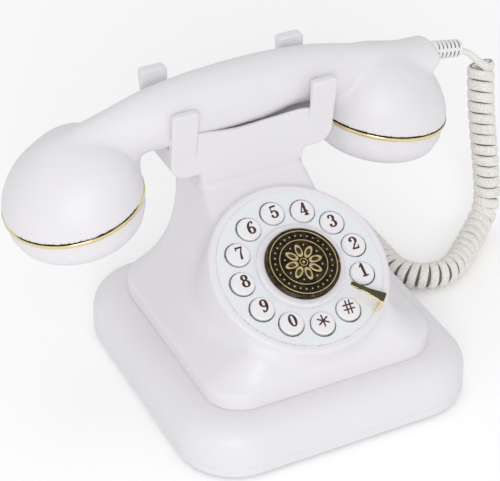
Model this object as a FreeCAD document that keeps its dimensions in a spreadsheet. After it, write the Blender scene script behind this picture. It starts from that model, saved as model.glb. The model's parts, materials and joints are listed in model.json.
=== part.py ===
import FreeCAD, Part
import math
import os

import Sketcher
from FreeCAD import Placement, Rotation, Vector

# Retro desk telephone: square plinth, flared housing, leaning push-button dial, cradle with four horns,
# arched handset, curly cord. Millimetres, +Z up, dial facing -Y, origin on the table under the middle.

# Driving sizes
SIZES = [
    ("foot_stand", 1.2), ("foot_wide", 12.0), ("foot_thick", 2.2), ("foot_inset", 20.0),
    ("plinth_wide", 137.4), ("plinth_deep", 142.8), ("plinth_corner", 27.0), ("plinth_top", 24.4),
    ("tray_thick", 5.0), ("tray_floor", 2.4), ("shoulder", 12.0), ("tray_edge", 1.4), ("seam", 0.5),
    ("wall", 2.4), ("ledge", 5.0), ("body_shift", 3.6), ("lip_wide", 107.6), ("lip_deep", 112.8),
    ("lip_corner", 17.0), ("neck_wide", 49.6), ("neck_deep", 29.6), ("neck_middle", 36.7),
    ("neck_corner", 4.0), ("neck_top", 88.2), ("flare_fall", 13.5), ("front_tuck", 4.4),
    ("front_fall", 5.0), ("corner_fall", 20.0), ("dial_back", 24.2), ("dial_high", 66.1),
    ("dial_lean_angle", 29.4), ("bezel", 4.0), ("drum_deep", 40.0), ("drum_rim", 1.0),
    ("drum_round", 1.4), ("face_drop", 6.0), ("plate_wide", 73.0), ("plate_thick", 2.4),
    ("plate_drop", 1.4), ("plate_ledge", 1.5), ("plate_slack", 0.3), ("key_inset", 8.95),
    ("key_wide", 10.6), ("key_slack", 0.6), ("key_first_angle", -22.9), ("key_step_angle", 29.0),
    ("key_tall", 6.4), ("key_round", 0.7), ("key_flange", 1.2), ("key_flange_wide", 12.8),
    ("key_travel", 1.4), ("mat_gap", 3.1), ("mat_thick", 1.0), ("mat_dome", 5.0), ("board_thick", 1.6),
    ("disc_wide", 39.4), ("disc_rise", 1.5), ("disc_edge", 0.8), ("medal_wide", 32.7),
    ("medal_rise", 3.4), ("medal_thick", 2.6), ("medal_gap", 0.35), ("stop_gap", 1.3), ("stop_seat", 2.8),
    ("stop_rise", 3.0), ("stop_thick", 1.2), ("stop_narrow", 2.2), ("stop_flare", 5.4),
    ("stop_hook", 8.0), ("stop_angle", -43.5), ("band_tall", 3.2), ("band_proud", 0.8),
    ("cradle_side", 2.4), ("saddle_high", 107.6), ("wall_high", 113.1), ("wall_dip", 1.8),
    ("horn_front_top", 126.6), ("horn_wide", 11.6), ("horn_front_deep", 4.4), ("horn_reach", 39.2),
    ("flank_foot", 93.0), ("flank_round", 8.0), ("hook_wide", 7.0), ("hook_rise", 4.0),
    ("hook_side", 17.0), ("cup_apart", 155.0), ("cup_high", 90.5), ("cup_tilt_angle", 10.3),
    ("dome_wide", 62.0), ("dome_lift", 1.0), ("handset_back", 36.4), ("handset_turn_angle", 2.9),
    ("trim_wide", 61.6), ("trim_tall", 1.8), ("trim_groove", 0.5), ("cap_tall", 15.5), ("cap_wide", 60.4),
    ("cap_round", 8.5), ("cap_step", 6.5), ("cap_step_in", 0.7), ("cap_wall", 2.4), ("boot_wide", 9.0),
    ("boot_long", 19.5), ("boot_tip", 7.6), ("boot_high", 23.6), ("boot_dip_angle", 11.0), ("wire", 3.4),
    ("coil_wide", 13.2), ("turn_pitch", 5.6), ("jack_wide", 13.0), ("jack_tall", 10.0),
    ("jack_side", 34.0), ("jack_high", 11.8), ("jack_deep", 15.0), ("post_side", 17.0),
    ("post_inset", 13.4), ("post_wide", 6.0), ("board_lift", 1.6), ("screw_wide", 3.0),
    ("screw_slack", 0.2), ("head_wide", 5.6), ("head_tall", 2.0), ("screw_long", 11.0),
    ("line_wide", 14.0), ("line_tall", 10.0), ("slot_wide", 14.0), ("slot_tall", 3.4),
    ("board_wide", 88.0), ("board_deep", 42.0), ("board_inset", 5.4), ("board_side", 40.0),
    ("board_end", 11.0), ("chip_wide", 16.0), ("chip_deep", 9.0), ("chip_back", 14.0), ("chip_tall", 2.2),
    ("can_wide", 7.0), ("can_tall", 9.0), ("switch_block", 14.0), ("switch_deep", 5.0),
    ("switch_inset", 8.2), ("switch_tall", 5.4), ("switch_high", 9.9), ("jack_sunk", 1.0),
    ("jack_skin", 1.2), ("carrier_wide", 19.0), ("carrier_deep", 2.2), ("carrier_tall", 4.4),
    ("knob_wide", 5.0), ("knob_tall", 3.0), ("knob_sunk", 0.2), ("speaker_wide", 42.0),
    ("speaker_side", 28.0), ("speaker_front", 32.0), ("speaker_tall", 11.0), ("ballast_wide", 42.0),
    ("ballast_deep", 46.0), ("ballast_tall", 8.0), ("flare_foot", 32.2), ("lip_soft", 1.0),
    ("stem_hole", 7.0), ("stem_wide", 4.6), ("keeper_wide", 8.4), ("keeper_gap", 0.5),
    ("keeper_thick", 1.0), ("medal_step", 0.5), ("medal_swing", 0.9), ("pin_side", 10.5),
    ("pin_wide", 5.0), ("small_wide", 2.2), ("small_long", 6.0), ("small_head", 4.2),
    ("small_head_tall", 1.4), ("key_travel_gap", 0.1), ("key_skin", 1.4), ("dome_tall", 1.4),
    ("horn_back", 51.1), ("hook_post", 9.5), ("hook_bar_tall", 3.0), ("hook_proud", 0.9),
    ("spring_wide", 6.4), ("spring_wire", 0.8), ("carrier_long", 36.0), ("carrier_broad", 23.0),
    ("micro_tall", 6.5), ("boot_slack", 0.1), ("boot_start", 100.3), ("boot_ribs", 6.0),
    ("boot_collar", 5.0), ("boot_groove", 0.9), ("sleeve_wide", 55.6), ("sleeve_wall", 1.4),
    ("sleeve_tall", 4.0), ("sound_hole", 2.4), ("sound_ring", 7.0), ("receiver_wide", 40.0),
    ("receiver_tall", 8.0), ("microphone_wide", 24.0), ("microphone_tall", 7.0), ("weight_long", 48.0),
    ("weight_wide", 11.0), ("weight_tall", 9.0), ("weight_foot", 23.8), ("lead_wide", 2.8),
    ("lead_out", 8.4), ("lead_drop", 6.0), ("plug_out", 12.0), ("plug_in", 7.0), ("pivot_drop", 2.3),
    ("pivot_wide", 1.2), ("pivot_long", 11.0), ("pivot_slack", 0.3), ("horn_tip", 1.6),
    ("horn_back_top", 132.4), ("horn_back_deep", 5.6), ("stop_bend", 31.0), ("stop_tab", 3.0),
]


class Dim:
    """A length together with the sheet formula that gives it."""

    def __init__(self, value, text):
        self.value = value
        self.text = text

    def __add__(self, other):
        other = dim(other)
        return Dim(self.value + other.value, f"({self.text} + {other.text})")

    def __sub__(self, other):
        other = dim(other)
        return Dim(self.value - other.value, f"({self.text} - {other.text})")

    def __mul__(self, other):
        other = dim(other)
        return Dim(self.value * other.value, f"({self.text} * {other.text})")

    def __truediv__(self, other):
        other = dim(other)
        return Dim(self.value / other.value, f"({self.text} / {other.text})")

    def __neg__(self):
        return Dim(-self.value, f"(-1 * {self.text})")

    def __float__(self):
        return float(self.value)

    __radd__ = __add__

    def __rsub__(self, other):
        return dim(other) - self

    __rmul__ = __mul__


def dim(number):
    return number if isinstance(number, Dim) else Dim(float(number), f"{float(number):g}")


class Sheet:
    """Sizes of the document's spreadsheet, read by name."""

    def __init__(self, doc):
        self.sheet = doc.addObject("Spreadsheet::Sheet", "Sizes")
        for row, (name, number) in enumerate(SIZES, start=1):
            self.sheet.set(f"A{row}", name)
            self.sheet.set(f"B{row}", str(number))
            self.sheet.setAlias(f"B{row}", name)
        doc.recompute()

    def __getattr__(self, name):
        return Dim(float(getattr(self.sheet, name)), f"Sizes.{name}")


doc = FreeCAD.newDocument("Telephone")
S = Sheet(doc)
nodes = []


def bind(obj, **lengths):
    for name, length in lengths.items():
        obj.setExpression(name, dim(length).text)


def keep(obj, label, where=None):
    """Names a finished sub-part and puts it in its place."""
    obj.Label = label
    if where is not None:
        obj.Placement = where
    nodes.append(obj)
    return obj


# Sizes that follow from others
drum_wide = S.plate_wide + S.bezel * 2
plate_open = S.plate_wide - S.plate_ledge * 2
key_ring = S.plate_wide - S.key_inset * 2
mat_wide = drum_wide - S.wall * 2 - S.mat_gap * 2
stop_outer = S.plate_wide / 2 + S.stop_seat
stop_inner = S.disc_wide / 2 + S.stop_gap
post_end = S.plinth_deep / 2 - S.post_inset
board_back = S.plinth_deep / 2 - S.board_deep / 2 - S.board_inset
switch_back = S.plinth_deep / 2 - S.switch_inset
jack_back = S.plinth_deep / 2 - S.jack_sunk
vast = float(S.plinth_wide + S.plinth_deep)

# Places
HOME = Placement(Vector(float(S.body_shift), 0, 0), Rotation())
DIAL = Placement(Vector(float(S.body_shift), -float(S.dial_back), float(S.dial_high)),
                 Rotation(Vector(1, 0, 0), float(S.dial_lean_angle)))
DIAL_LOCAL = HOME.inverse().multiply(DIAL)
HANDSET = Placement(Vector(0, float(S.handset_back), float(S.cup_high)),
                    Rotation(Vector(0, 0, 1), float(S.handset_turn_angle)))


def cup_place(side):
    """Centre of a cup's trim ring, +Z along the cup's axis; side is -1 for the ear end, 1 for the other."""
    lean = Rotation(Vector(0, 1, 0), side * float(S.cup_tilt_angle))
    return HANDSET.multiply(Placement(Vector(side * float(S.cup_apart / 2), 0, 0), lean))


# Sketch and feature helpers
def plane_of(body, role):
    return [face for face in body.Origin.OriginFeatures if face.Role == role][0]


def sketch_on(body, role="XY_Plane", rise=None):
    """A sketch on one of the body's own planes, raised by a bound distance."""
    sketch = body.newObject("Sketcher::SketchObject", "Sketch")
    sketch.AttachmentSupport = [(plane_of(body, role), "")]
    sketch.MapMode = "FlatFace"
    if rise is not None:
        rise = dim(rise)
        sketch.AttachmentOffset = Placement(Vector(0, 0, rise.value), Rotation())
        sketch.setExpression("AttachmentOffset.Base.z", rise.text)
    return sketch


def fix_number(sketch, kind, *where_and_value):
    *where, number = where_and_value
    number = dim(number)
    index = sketch.addConstraint(Sketcher.Constraint(kind, *where, number.value))
    sketch.setExpression(f"Constraints[{index}]", number.text)


def fix_point(sketch, geometry, end, x, y):
    for kind, number, axis in (("DistanceX", dim(x), -2), ("DistanceY", dim(y), -1)):
        if abs(number.value) < 1e-9:
            sketch.addConstraint(Sketcher.Constraint("PointOnObject", geometry, end, axis))
        else:
            fix_number(sketch, kind, geometry, end, number)


def outline(sketch, points):
    """Closed outline of straight sides through bound points."""
    spots = [Vector(float(dim(x)), float(dim(y)), 0) for x, y in points]
    first = sketch.GeometryCount
    for index, spot in enumerate(spots):
        sketch.addGeometry(Part.LineSegment(spot, spots[(index + 1) % len(spots)]))
    for index, (x, y) in enumerate(points):
        before = first + (index - 1) % len(points)
        sketch.addConstraint(Sketcher.Constraint("Coincident", before, 2, first + index, 1))
        fix_point(sketch, first + index, 1, x, y)


def circle(sketch, wide, x=0, y=0):
    place = Vector(float(dim(x)), float(dim(y)), 0)
    index = sketch.addGeometry(Part.Circle(place, Vector(0, 0, 1), float(wide) / 2))
    fix_number(sketch, "Radius", index, wide / 2)
    fix_point(sketch, index, 3, x, y)


def rounded(sketch, west, east, south, north, radius):
    """Rectangle with equal round corners: arcs by centre and radius, sides by tangency."""
    corners = [(east - radius, north - radius), (west + radius, north - radius),
               (west + radius, south + radius), (east - radius, south + radius)]
    arcs = []
    for quarter, (x, y) in enumerate(corners):
        ring = Part.Circle(Vector(float(x), float(y), 0), Vector(0, 0, 1), float(radius))
        start = quarter * math.pi / 2
        arcs.append(sketch.addGeometry(Part.ArcOfCircle(ring, start, start + math.pi / 2)))
    for quarter, (x, y) in enumerate(corners):
        here = arcs[quarter]
        after = arcs[(quarter + 1) % 4]
        ends = [sketch.getPoint(here, 2), sketch.getPoint(after, 1)]
        side = sketch.addGeometry(Part.LineSegment(*ends))
        sketch.addConstraint(Sketcher.Constraint("Tangent", here, 2, side, 1))
        sketch.addConstraint(Sketcher.Constraint("Tangent", side, 2, after, 1))
        fix_number(sketch, "Radius", here, radius)
        fix_point(sketch, here, 3, x, y)


def pad(body, sketch, tall, midplane=False):
    feature = body.newObject("PartDesign::Pad", "Pad")
    feature.Profile = sketch
    feature.Midplane = midplane
    feature.Length = float(tall)
    bind(feature, Length=tall)
    return feature


def pocket(body, sketch, deep=None, upward=False, midplane=False):
    """Cuts along the sketch's normal backwards, or upward along it; through everything with no depth."""
    feature = body.newObject("PartDesign::Pocket", "Pocket")
    feature.Profile = sketch
    feature.Reversed = upward
    feature.Midplane = midplane
    if deep is None:
        feature.Type = "ThroughAll"
    else:
        feature.Length = float(deep)
        bind(feature, Length=deep)
    return feature


def revolve(body, sketch, groove=False):
    feature = body.newObject("PartDesign::Groove" if groove else "PartDesign::Revolution", "Turned")
    feature.Profile = sketch
    feature.ReferenceAxis = (sketch, ["V_Axis"])
    feature.Angle = 360
    return feature


def edges_where(shape, test):
    return [f"Edge{index}" for index, edge in enumerate(shape.Edges, start=1) if test(edge)]


def round_over(body, test, radius, kind="Fillet"):
    """Rounds, or bevels, the edges of the body that the test picks."""
    doc.recompute()
    base = body.Tip
    feature = body.newObject(f"PartDesign::{kind}", kind)
    feature.Base = (base, edges_where(base.Shape, test))
    if kind == "Fillet":
        bind(feature, Radius=radius)
    else:
        bind(feature, Size=radius)
    return feature


def at_height(height):
    """Test for edges that lie flat at one height."""
    def flat(edge):
        heights = [vertex.Z - float(height) for vertex in edge.Vertexes]
        heights.append(edge.valueAt((edge.FirstParameter + edge.LastParameter) / 2).z - float(height))
        return max(abs(gap) for gap in heights) < 0.01
    return flat


def turned(label, points, where):
    """A sub-part turned about its own Z axis from a bound outline of radius and height."""
    body = doc.addObject("PartDesign::Body", label)
    sketch = sketch_on(body, "XZ_Plane")
    outline(sketch, points)
    revolve(body, sketch)
    keep(body, label, where)
    return body


def around(wide, deep, middle=0):
    """Sides of a rectangle centred in x, with its middle in y."""
    return (-wide / 2, wide / 2, middle - deep / 2, middle + deep / 2)


def four_corners(wide, deep):
    return [(wide * side, deep * end) for side in (-1, 1) for end in (-1, 1)]


# Base: tray, feet, screws, plinth
FEET = four_corners(S.plinth_wide / 2 - S.foot_inset, S.plinth_deep / 2 - S.foot_inset)
POSTS = four_corners(S.post_side, post_end)
BOARD_SPOTS = [(x, y + board_back - S.board_end / 2) for x, y in four_corners(S.board_side, S.board_end)]
tray_top = S.foot_stand + S.tray_thick
tray_inside = S.foot_stand + S.tray_floor


def make_tray():
    body = doc.addObject("PartDesign::Body", "base_tray")
    plan = sketch_on(body, rise=S.foot_stand)
    rounded(plan, *around(S.plinth_wide, S.plinth_deep), S.plinth_corner)
    pad(body, plan, S.tray_thick)
    round_over(body, at_height(S.foot_stand), S.tray_edge)
    round_over(body, at_height(tray_top), S.seam, "Chamfer")
    inside = sketch_on(body, rise=tray_inside)
    rounded(inside, *around(S.plinth_wide - S.wall * 2, S.plinth_deep - S.wall * 2), S.plinth_corner - S.wall)
    pocket(body, inside, upward=True)
    posts = sketch_on(body, rise=tray_inside)
    for x, y in POSTS:
        circle(posts, S.post_wide, x, y)
    pad(body, posts, S.tray_thick - S.tray_floor)
    boards = sketch_on(body, rise=tray_inside)
    for x, y in BOARD_SPOTS:
        circle(boards, S.post_wide, x, y)
    pad(body, boards, S.board_lift)
    wells = sketch_on(body, rise=S.foot_stand)
    for x, y in FEET:
        circle(wells, S.foot_wide, x, y)
    pocket(body, wells, S.foot_thick - S.foot_stand, upward=True)
    holes = sketch_on(body, rise=S.foot_stand)
    for x, y in POSTS:
        circle(holes, S.screw_wide + S.screw_slack, x, y)
    pocket(body, holes, upward=True)
    sinks = sketch_on(body, rise=S.foot_stand)
    for x, y in POSTS:
        circle(sinks, S.head_wide + S.screw_slack, x, y)
    pocket(body, sinks, S.head_tall, upward=True)
    pilots = sketch_on(body, rise=tray_inside + S.board_lift)
    for x, y in BOARD_SPOTS:
        circle(pilots, S.screw_wide + S.screw_slack, x, y)
    pocket(body, pilots, S.board_lift)
    return keep(body, "base_tray", HOME)


def make_studs(label, spots, layers, where=HOME):
    """Alike turned pieces side by side: layers of width, foot height and height, one on the other."""
    body = doc.addObject("PartDesign::Body", label)
    body.AllowCompound = True
    for wide, foot, tall in layers:
        plan = sketch_on(body, rise=foot)
        for x, y in spots:
            circle(plan, wide, x, y)
        pad(body, plan, tall)
    return keep(body, label, where)


def make_plinth():
    body = doc.addObject("PartDesign::Body", "plinth_shell")
    plan = sketch_on(body, rise=tray_top)
    rounded(plan, *around(S.plinth_wide, S.plinth_deep), S.plinth_corner)
    pad(body, plan, S.plinth_top - tray_top)
    round_over(body, at_height(S.plinth_top), S.shoulder)
    round_over(body, at_height(tray_top), S.seam, "Chamfer")
    inside = sketch_on(body, rise=tray_top)
    rounded(inside, *around(S.plinth_wide - S.wall * 2, S.plinth_deep - S.wall * 2), S.plinth_corner - S.wall)
    low = S.plinth_top - S.shoulder - tray_top
    pocket(body, inside, low, upward=True)
    slope = sketch_on(body, rise=tray_top + low)
    narrow = S.wall * 2 + S.shoulder
    rounded(slope, *around(S.plinth_wide - narrow, S.plinth_deep - narrow), S.plinth_corner - narrow / 2)
    pocket(body, slope, S.shoulder - S.wall, upward=True)
    opening = sketch_on(body, rise=tray_top)
    rounded(opening, *around(S.lip_wide - S.ledge * 2, S.lip_deep - S.ledge * 2), S.lip_corner - S.ledge)
    pocket(body, opening, upward=True)
    posts = sketch_on(body, rise=tray_top)
    for x, y in POSTS:
        circle(posts, S.post_wide, x, y)
    pad(body, posts, S.plinth_top - S.wall / 2 - tray_top)
    holes = sketch_on(body, rise=tray_top)
    for x, y in POSTS:
        circle(holes, S.screw_wide + S.screw_slack, x, y)
    pocket(body, holes, S.screw_long - S.tray_thick + S.wall, upward=True)
    for place, wide, centre, tall in ((S.jack_side, S.jack_wide, S.jack_high, S.jack_tall),
                                      (-S.jack_side, S.line_wide, S.jack_high, S.line_tall),
                                      (dim(0), S.slot_wide, S.switch_high, S.slot_tall)):
        cut = sketch_on(body, "XZ_Plane", S.ledge - S.plinth_deep / 2 + S.wall * 2)
        outline(cut, box_points(place, wide + S.screw_slack, centre, tall + S.screw_slack))
        pocket(body, cut, S.plinth_deep)
    return keep(body, "plinth_shell", HOME)


def box_points(middle, wide, centre, tall):
    return [(middle - wide / 2, centre - tall / 2), (middle + wide / 2, centre - tall / 2),
            (middle + wide / 2, centre + tall / 2), (middle - wide / 2, centre + tall / 2)]


def block(body, sides, foot, tall, cut=False):
    """Box between four sides, standing on a height, added to the body or cut out of it."""
    west, east, south, north = sides
    plan = sketch_on(body, rise=foot)
    outline(plan, [(west, south), (east, south), (east, north), (west, north)])
    return pocket(body, plan, tall, upward=True) if cut else pad(body, plan, tall)


def make_board():
    body = doc.addObject("PartDesign::Body", "main_board")
    block(body, around(S.board_wide, S.board_deep, board_back), board_foot, S.board_thick)
    block(body, around(S.chip_wide, S.chip_deep, board_back - S.chip_back), board_top, S.chip_tall)
    block(body, around(S.switch_block, S.switch_deep, switch_back), board_top, S.switch_tall)
    cans = sketch_on(body, rise=board_top)
    for side in (-1, 1):
        circle(cans, S.can_wide, S.chip_wide * side, board_back - S.chip_back)
    pad(body, cans, S.can_tall)
    clear = sketch_on(body, rise=board_foot)
    for side in (-1, 1):
        circle(clear, S.post_wide + S.can_wide / 4, S.post_side * side, post_end)
    pocket(body, clear, S.board_thick, upward=True)
    holes = sketch_on(body, rise=board_foot)
    for x, y in BOARD_SPOTS:
        circle(holes, S.screw_wide + S.screw_slack, x, y)
    pocket(body, holes, S.board_thick, upward=True)
    return keep(body, "main_board", HOME)


def make_jack(label, side, wide, tall):
    body = doc.addObject("PartDesign::Body", label)
    middle = jack_back - S.jack_deep / 2
    block(body, (side - wide / 2, side + wide / 2, middle - S.jack_deep / 2, middle + S.jack_deep / 2),
          board_top, tall)
    mouth = sketch_on(body, "XZ_Plane", -jack_back)
    outline(mouth, box_points(side, wide - S.jack_skin * 2, board_top + tall / 2, tall - S.jack_skin * 2))
    pocket(body, mouth, S.jack_deep - S.jack_skin, upward=True)
    return keep(body, label, HOME)


def make_switch():
    """Ringer switch: a knob through the slot of the back wall on a carrier behind it."""
    body = doc.addObject("PartDesign::Body", "ringer_switch")
    back = S.plinth_deep / 2
    inner = back - S.wall - S.key_slack / 2
    carrier = (-S.carrier_wide / 2, S.carrier_wide / 2, inner - S.carrier_deep, inner)
    block(body, carrier, S.switch_high - S.carrier_tall / 2, S.carrier_tall)
    knob = (-S.knob_wide / 2, S.knob_wide / 2, inner - S.carrier_deep, back - S.knob_sunk)
    block(body, knob, S.switch_high - S.knob_tall / 2, S.knob_tall)
    return keep(body, "ringer_switch", HOME)


def make_speaker():
    body = doc.addObject("PartDesign::Body", "ringer_speaker")
    for wide, tall in ((S.speaker_wide, S.wall), (S.speaker_wide / 2, S.speaker_tall)):
        plan = sketch_on(body, rise=tray_inside)
        circle(plan, wide, -S.speaker_side, -S.speaker_front)
        pad(body, plan, tall)
    return keep(body, "ringer_speaker", HOME)


def make_ballast():
    body = doc.addObject("PartDesign::Body", "ballast_weight")
    plan = sketch_on(body, rise=tray_inside)
    rounded(plan, S.speaker_side - S.ballast_wide / 2, S.speaker_side + S.ballast_wide / 2,
            -S.speaker_front - S.ballast_deep / 2, -S.speaker_front + S.ballast_deep / 2, S.wall)
    pad(body, plan, S.ballast_tall)
    return keep(body, "ballast_weight", HOME)


# Housing: lip, flare, dial drum, neck
def round_wire(west, east, south, north, radius, height):
    """Rounded rectangle as a wire, always with eight edges, for lofts."""
    points = []
    for x, y, turn in ((east - radius, north - radius, 0), (west + radius, north - radius, 90),
                       (west + radius, south + radius, 180), (east - radius, south + radius, 270)):
        for step in (0, 45, 90):
            angle = math.radians(turn + step)
            points.append(Vector(x + radius * math.cos(angle), y + radius * math.sin(angle), height))
    edges = []
    for corner in range(4):
        start, middle, end = points[corner * 3:corner * 3 + 3]
        edges.append(Part.Arc(start, middle, end).toShape())
        edges.append(Part.makeLine(end, points[(corner * 3 + 3) % 12]))
    return Part.Wire(edges)


def flare_sides(height, skin):
    """Plan of the flared housing at a height: two straight-sided limits melted into one smooth curve."""
    rise = height - float(S.flare_foot)
    narrow = float(S.neck_wide) / 2
    spread = (float(S.lip_wide) / 2 - narrow) * math.exp(-rise / float(S.flare_fall))
    soft = float(S.lip_soft)
    straight = float(S.lip_wide) / 2
    curved = narrow + spread
    half = -soft * math.log(math.exp(-straight / soft) + math.exp(-curved / soft))
    share = (half - narrow) / (straight - narrow)
    steep = min(max(half - narrow, 0) / float(S.flare_fall), 2.2) if rise > -1 else 0
    inset = skin * math.hypot(1, steep)
    neck_back = float(S.neck_middle + S.neck_deep / 2)
    back = neck_back + (float(S.lip_deep) / 2 - neck_back) * share
    tuck = float(S.front_tuck) * math.exp(-max(rise, 0) / float(S.front_fall))
    front = -(float(S.lip_deep) / 2 - float(S.front_tuck)) - tuck
    widen = math.exp(-max(rise, 0) / float(S.corner_fall))
    corner = float(S.neck_corner) + float(S.lip_corner - S.neck_corner) * widen
    return -half + inset, half - inset, front + skin, back - skin, max(corner - skin, 1)


FLARE_STEPS = (0, 0.12, 0.3, 0.5, 0.62, 0.75)
FLARE_RISES = (0.014, 0.045, 0.09, 0.143, 0.214, 0.304, 0.411, 0.536, 0.679, 0.839)


def flare_solid(skin, top):
    heights = []
    lip = float(S.flare_foot - S.plinth_top)
    for step in FLARE_STEPS:
        heights.append(float(S.plinth_top) + lip * step)
    for rise in FLARE_RISES:
        heights.append(float(S.flare_foot) + (top - float(S.flare_foot)) * rise)
    heights.append(top)
    wires = [round_wire(*flare_sides(height, skin), height) for height in heights]
    return Part.makeLoft(wires, True)


def dial_slab(lift):
    """Everything on the dial's side of a plane parallel to it."""
    slab = Part.makeBox(vast, vast, vast, Vector(-vast / 2, -vast / 2, lift))
    slab.Placement = DIAL_LOCAL
    return slab


def dial_round(wide, low, high):
    """Round bar along the dial's axis between two lifts."""
    bar = Part.makeCylinder(wide / 2, high - low, Vector(0, 0, low))
    bar.Placement = DIAL_LOCAL
    return bar


def make_housing():
    foot = float(S.plinth_top)
    top = float(S.neck_top)
    skin = float(S.wall)
    face = -float(S.face_drop)
    rim = -float(S.drum_rim)
    seat = -float(S.plate_drop + S.plate_thick)
    neck_front = float(S.neck_middle - S.neck_deep / 2)
    above = Part.makeBox(vast, vast, vast, Vector(-vast / 2, -vast / 2, foot))
    outer = flare_solid(0, top).cut(dial_slab(face))
    half = float(S.neck_wide) / 2 + float(S.band_proud)
    band_foot = top - float(S.band_tall)
    back = float(S.neck_middle + S.neck_deep / 2) + float(S.band_proud)
    band = Part.Face(round_wire(-half, half, neck_front, back, float(S.neck_corner), band_foot))
    outer = outer.fuse(band.extrude(Vector(0, 0, top - band_foot)))
    drum = dial_round(float(drum_wide), rim - float(S.drum_deep), rim).common(above)
    edge = [edge for edge in drum.Edges if edge.Curve.TypeId == "Part::GeomCircle"
            and abs(DIAL_LOCAL.inverse().multVec(edge.Curve.Center).z - rim) < 0.01]
    drum = drum.makeFillet(float(S.drum_round), edge)
    outer = outer.fuse(drum)
    hollow = flare_solid(skin, top).cut(dial_slab(face - skin))
    inset = skin + float(S.band_proud)
    shaft_foot = band_foot - float(S.band_tall) * 2
    shaft = Part.Face(round_wire(-half + inset, half - inset, neck_front + skin, back - inset,
                                 float(S.neck_corner) / 2, shaft_foot))
    hollow = hollow.fuse(shaft.extrude(Vector(0, 0, top - shaft_foot + skin)))
    drum_foot = rim - float(S.drum_deep) + skin
    inner = dial_round(float(drum_wide) - skin * 2, drum_foot, seat - skin).common(above)
    hollow = hollow.fuse(inner)
    hollow = hollow.fuse(dial_round(float(plate_open), seat - skin - 1, seat + 1))
    hollow = hollow.fuse(dial_round(float(S.plate_wide + S.plate_slack * 2), seat, rim + 1))
    shell = outer.cut(hollow)
    slack = S.plate_slack
    slot = Part.makeBox(float(S.stop_thick + slack), float(S.stop_tab + slack), float(S.stop_hook),
                        Vector(float(stop_outer - S.stop_thick - slack / 2), -float(S.stop_tab + slack) / 2,
                               rim - float(S.stop_rise)))
    slot.Placement = DIAL_LOCAL.multiply(Placement(Vector(), Rotation(Vector(0, 0, 1), float(S.stop_angle))))
    return keep_shape("body_housing", shell.cut(slot), HOME)


def keep_shape(label, shape, where=None):
    """A sub-part whose form comes from solids worked out in code."""
    feature = doc.addObject("Part::Feature", label)
    feature.Shape = shape
    return keep(feature, label, where)


# Dial: plate, disc, rocker, stop, buttons, keypad
def key_spot(index):
    angle = math.radians(float(S.key_first_angle + S.key_step_angle * index))
    return key_ring / 2 * math.cos(angle), key_ring / 2 * math.sin(angle)


seat = -S.plate_drop - S.plate_thick
mat_top = seat - S.key_flange - S.key_travel - S.key_slack
board_under = mat_top - S.mat_thick - S.board_thick
PINS = four_corners(S.pin_side, S.pin_side)


def make_plate():
    body = doc.addObject("PartDesign::Body", "dial_plate")
    plan = sketch_on(body, rise=seat)
    circle(plan, S.plate_wide)
    pad(body, plan, S.plate_thick)
    pins = sketch_on(body, rise=mat_top)
    for x, y in PINS:
        circle(pins, S.pin_wide, x, y)
    pad(body, pins, seat - mat_top)
    holes = sketch_on(body, rise=seat)
    for index in range(12):
        circle(holes, S.key_wide + S.key_slack, *key_spot(index))
    circle(holes, S.stem_hole)
    pocket(body, holes, upward=True)
    pilots = sketch_on(body, rise=mat_top)
    for x, y in PINS:
        circle(pilots, S.small_wide + S.screw_slack, x, y)
    pocket(body, pilots, S.small_long - S.mat_thick - S.board_thick + S.screw_slack, upward=True)
    deep = S.pivot_drop + S.pivot_wide / 2 + S.pivot_slack - S.plate_drop
    groove = around(S.pivot_long + S.pivot_slack * 2, S.pivot_wide + S.pivot_slack * 2)
    block(body, groove, -S.plate_drop - deep, deep, cut=True)
    return keep(body, "dial_plate", DIAL)


def make_key(label, index):
    x, y = key_spot(index)
    place = DIAL.multiply(Placement(Vector(float(x), float(y), 0), Rotation()))
    foot = seat - S.key_travel_gap - S.key_flange
    half = S.key_wide / 2
    brim = S.key_flange_wide / 2
    well = half - S.key_skin
    body = turned(label, [(0, 0), (half, 0), (half, foot + S.key_flange), (brim, foot + S.key_flange),
                          (brim, foot), (well, foot), (well, -S.key_skin), (0, -S.key_skin)], place)
    round_over(body, at_height(0), S.key_round, "Chamfer")
    return body


def make_disc():
    """Centre disc with a well for the rocker; its edge stands on the plate."""
    half = S.disc_wide / 2
    well = S.medal_wide / 2 + S.medal_gap
    hole = S.stem_hole / 2
    foot = -S.plate_drop
    return turned("dial_centre_disc", [(hole, foot), (half, foot), (half, S.disc_rise - S.disc_edge),
                                       (half - S.disc_edge, S.disc_rise), (well, S.disc_rise),
                                       (well, well_floor), (hole, well_floor)], DIAL)


def make_rocker():
    """Rocker: medallion on a stem with a cross pin to rock on, and a foot that keeps it under the plate."""
    half = S.medal_wide / 2
    stem = S.stem_wide / 2
    keeper = S.keeper_wide / 2
    low = S.medal_rise - S.medal_thick
    rim = S.medal_rise - S.medal_step
    under = seat - S.keeper_gap
    high = S.medal_rise
    body = turned("redial_rocker", [(0, rim), (half * 0.56, rim), (half * 0.58, high), (half * 0.64, high),
                                    (half * 0.66, rim), (half * 0.88, rim), (half * 0.9, high),
                                    (half - S.medal_step, high), (half, rim), (half, low), (stem, low),
                                    (stem, under), (keeper, under), (keeper, under - S.keeper_thick),
                                    (0, under - S.keeper_thick)], DIAL)
    pin = sketch_on(body, "YZ_Plane")
    circle(pin, S.pivot_wide, 0, -S.pivot_drop)
    pad(body, pin, S.pivot_long, midplane=True)
    return body


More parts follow.
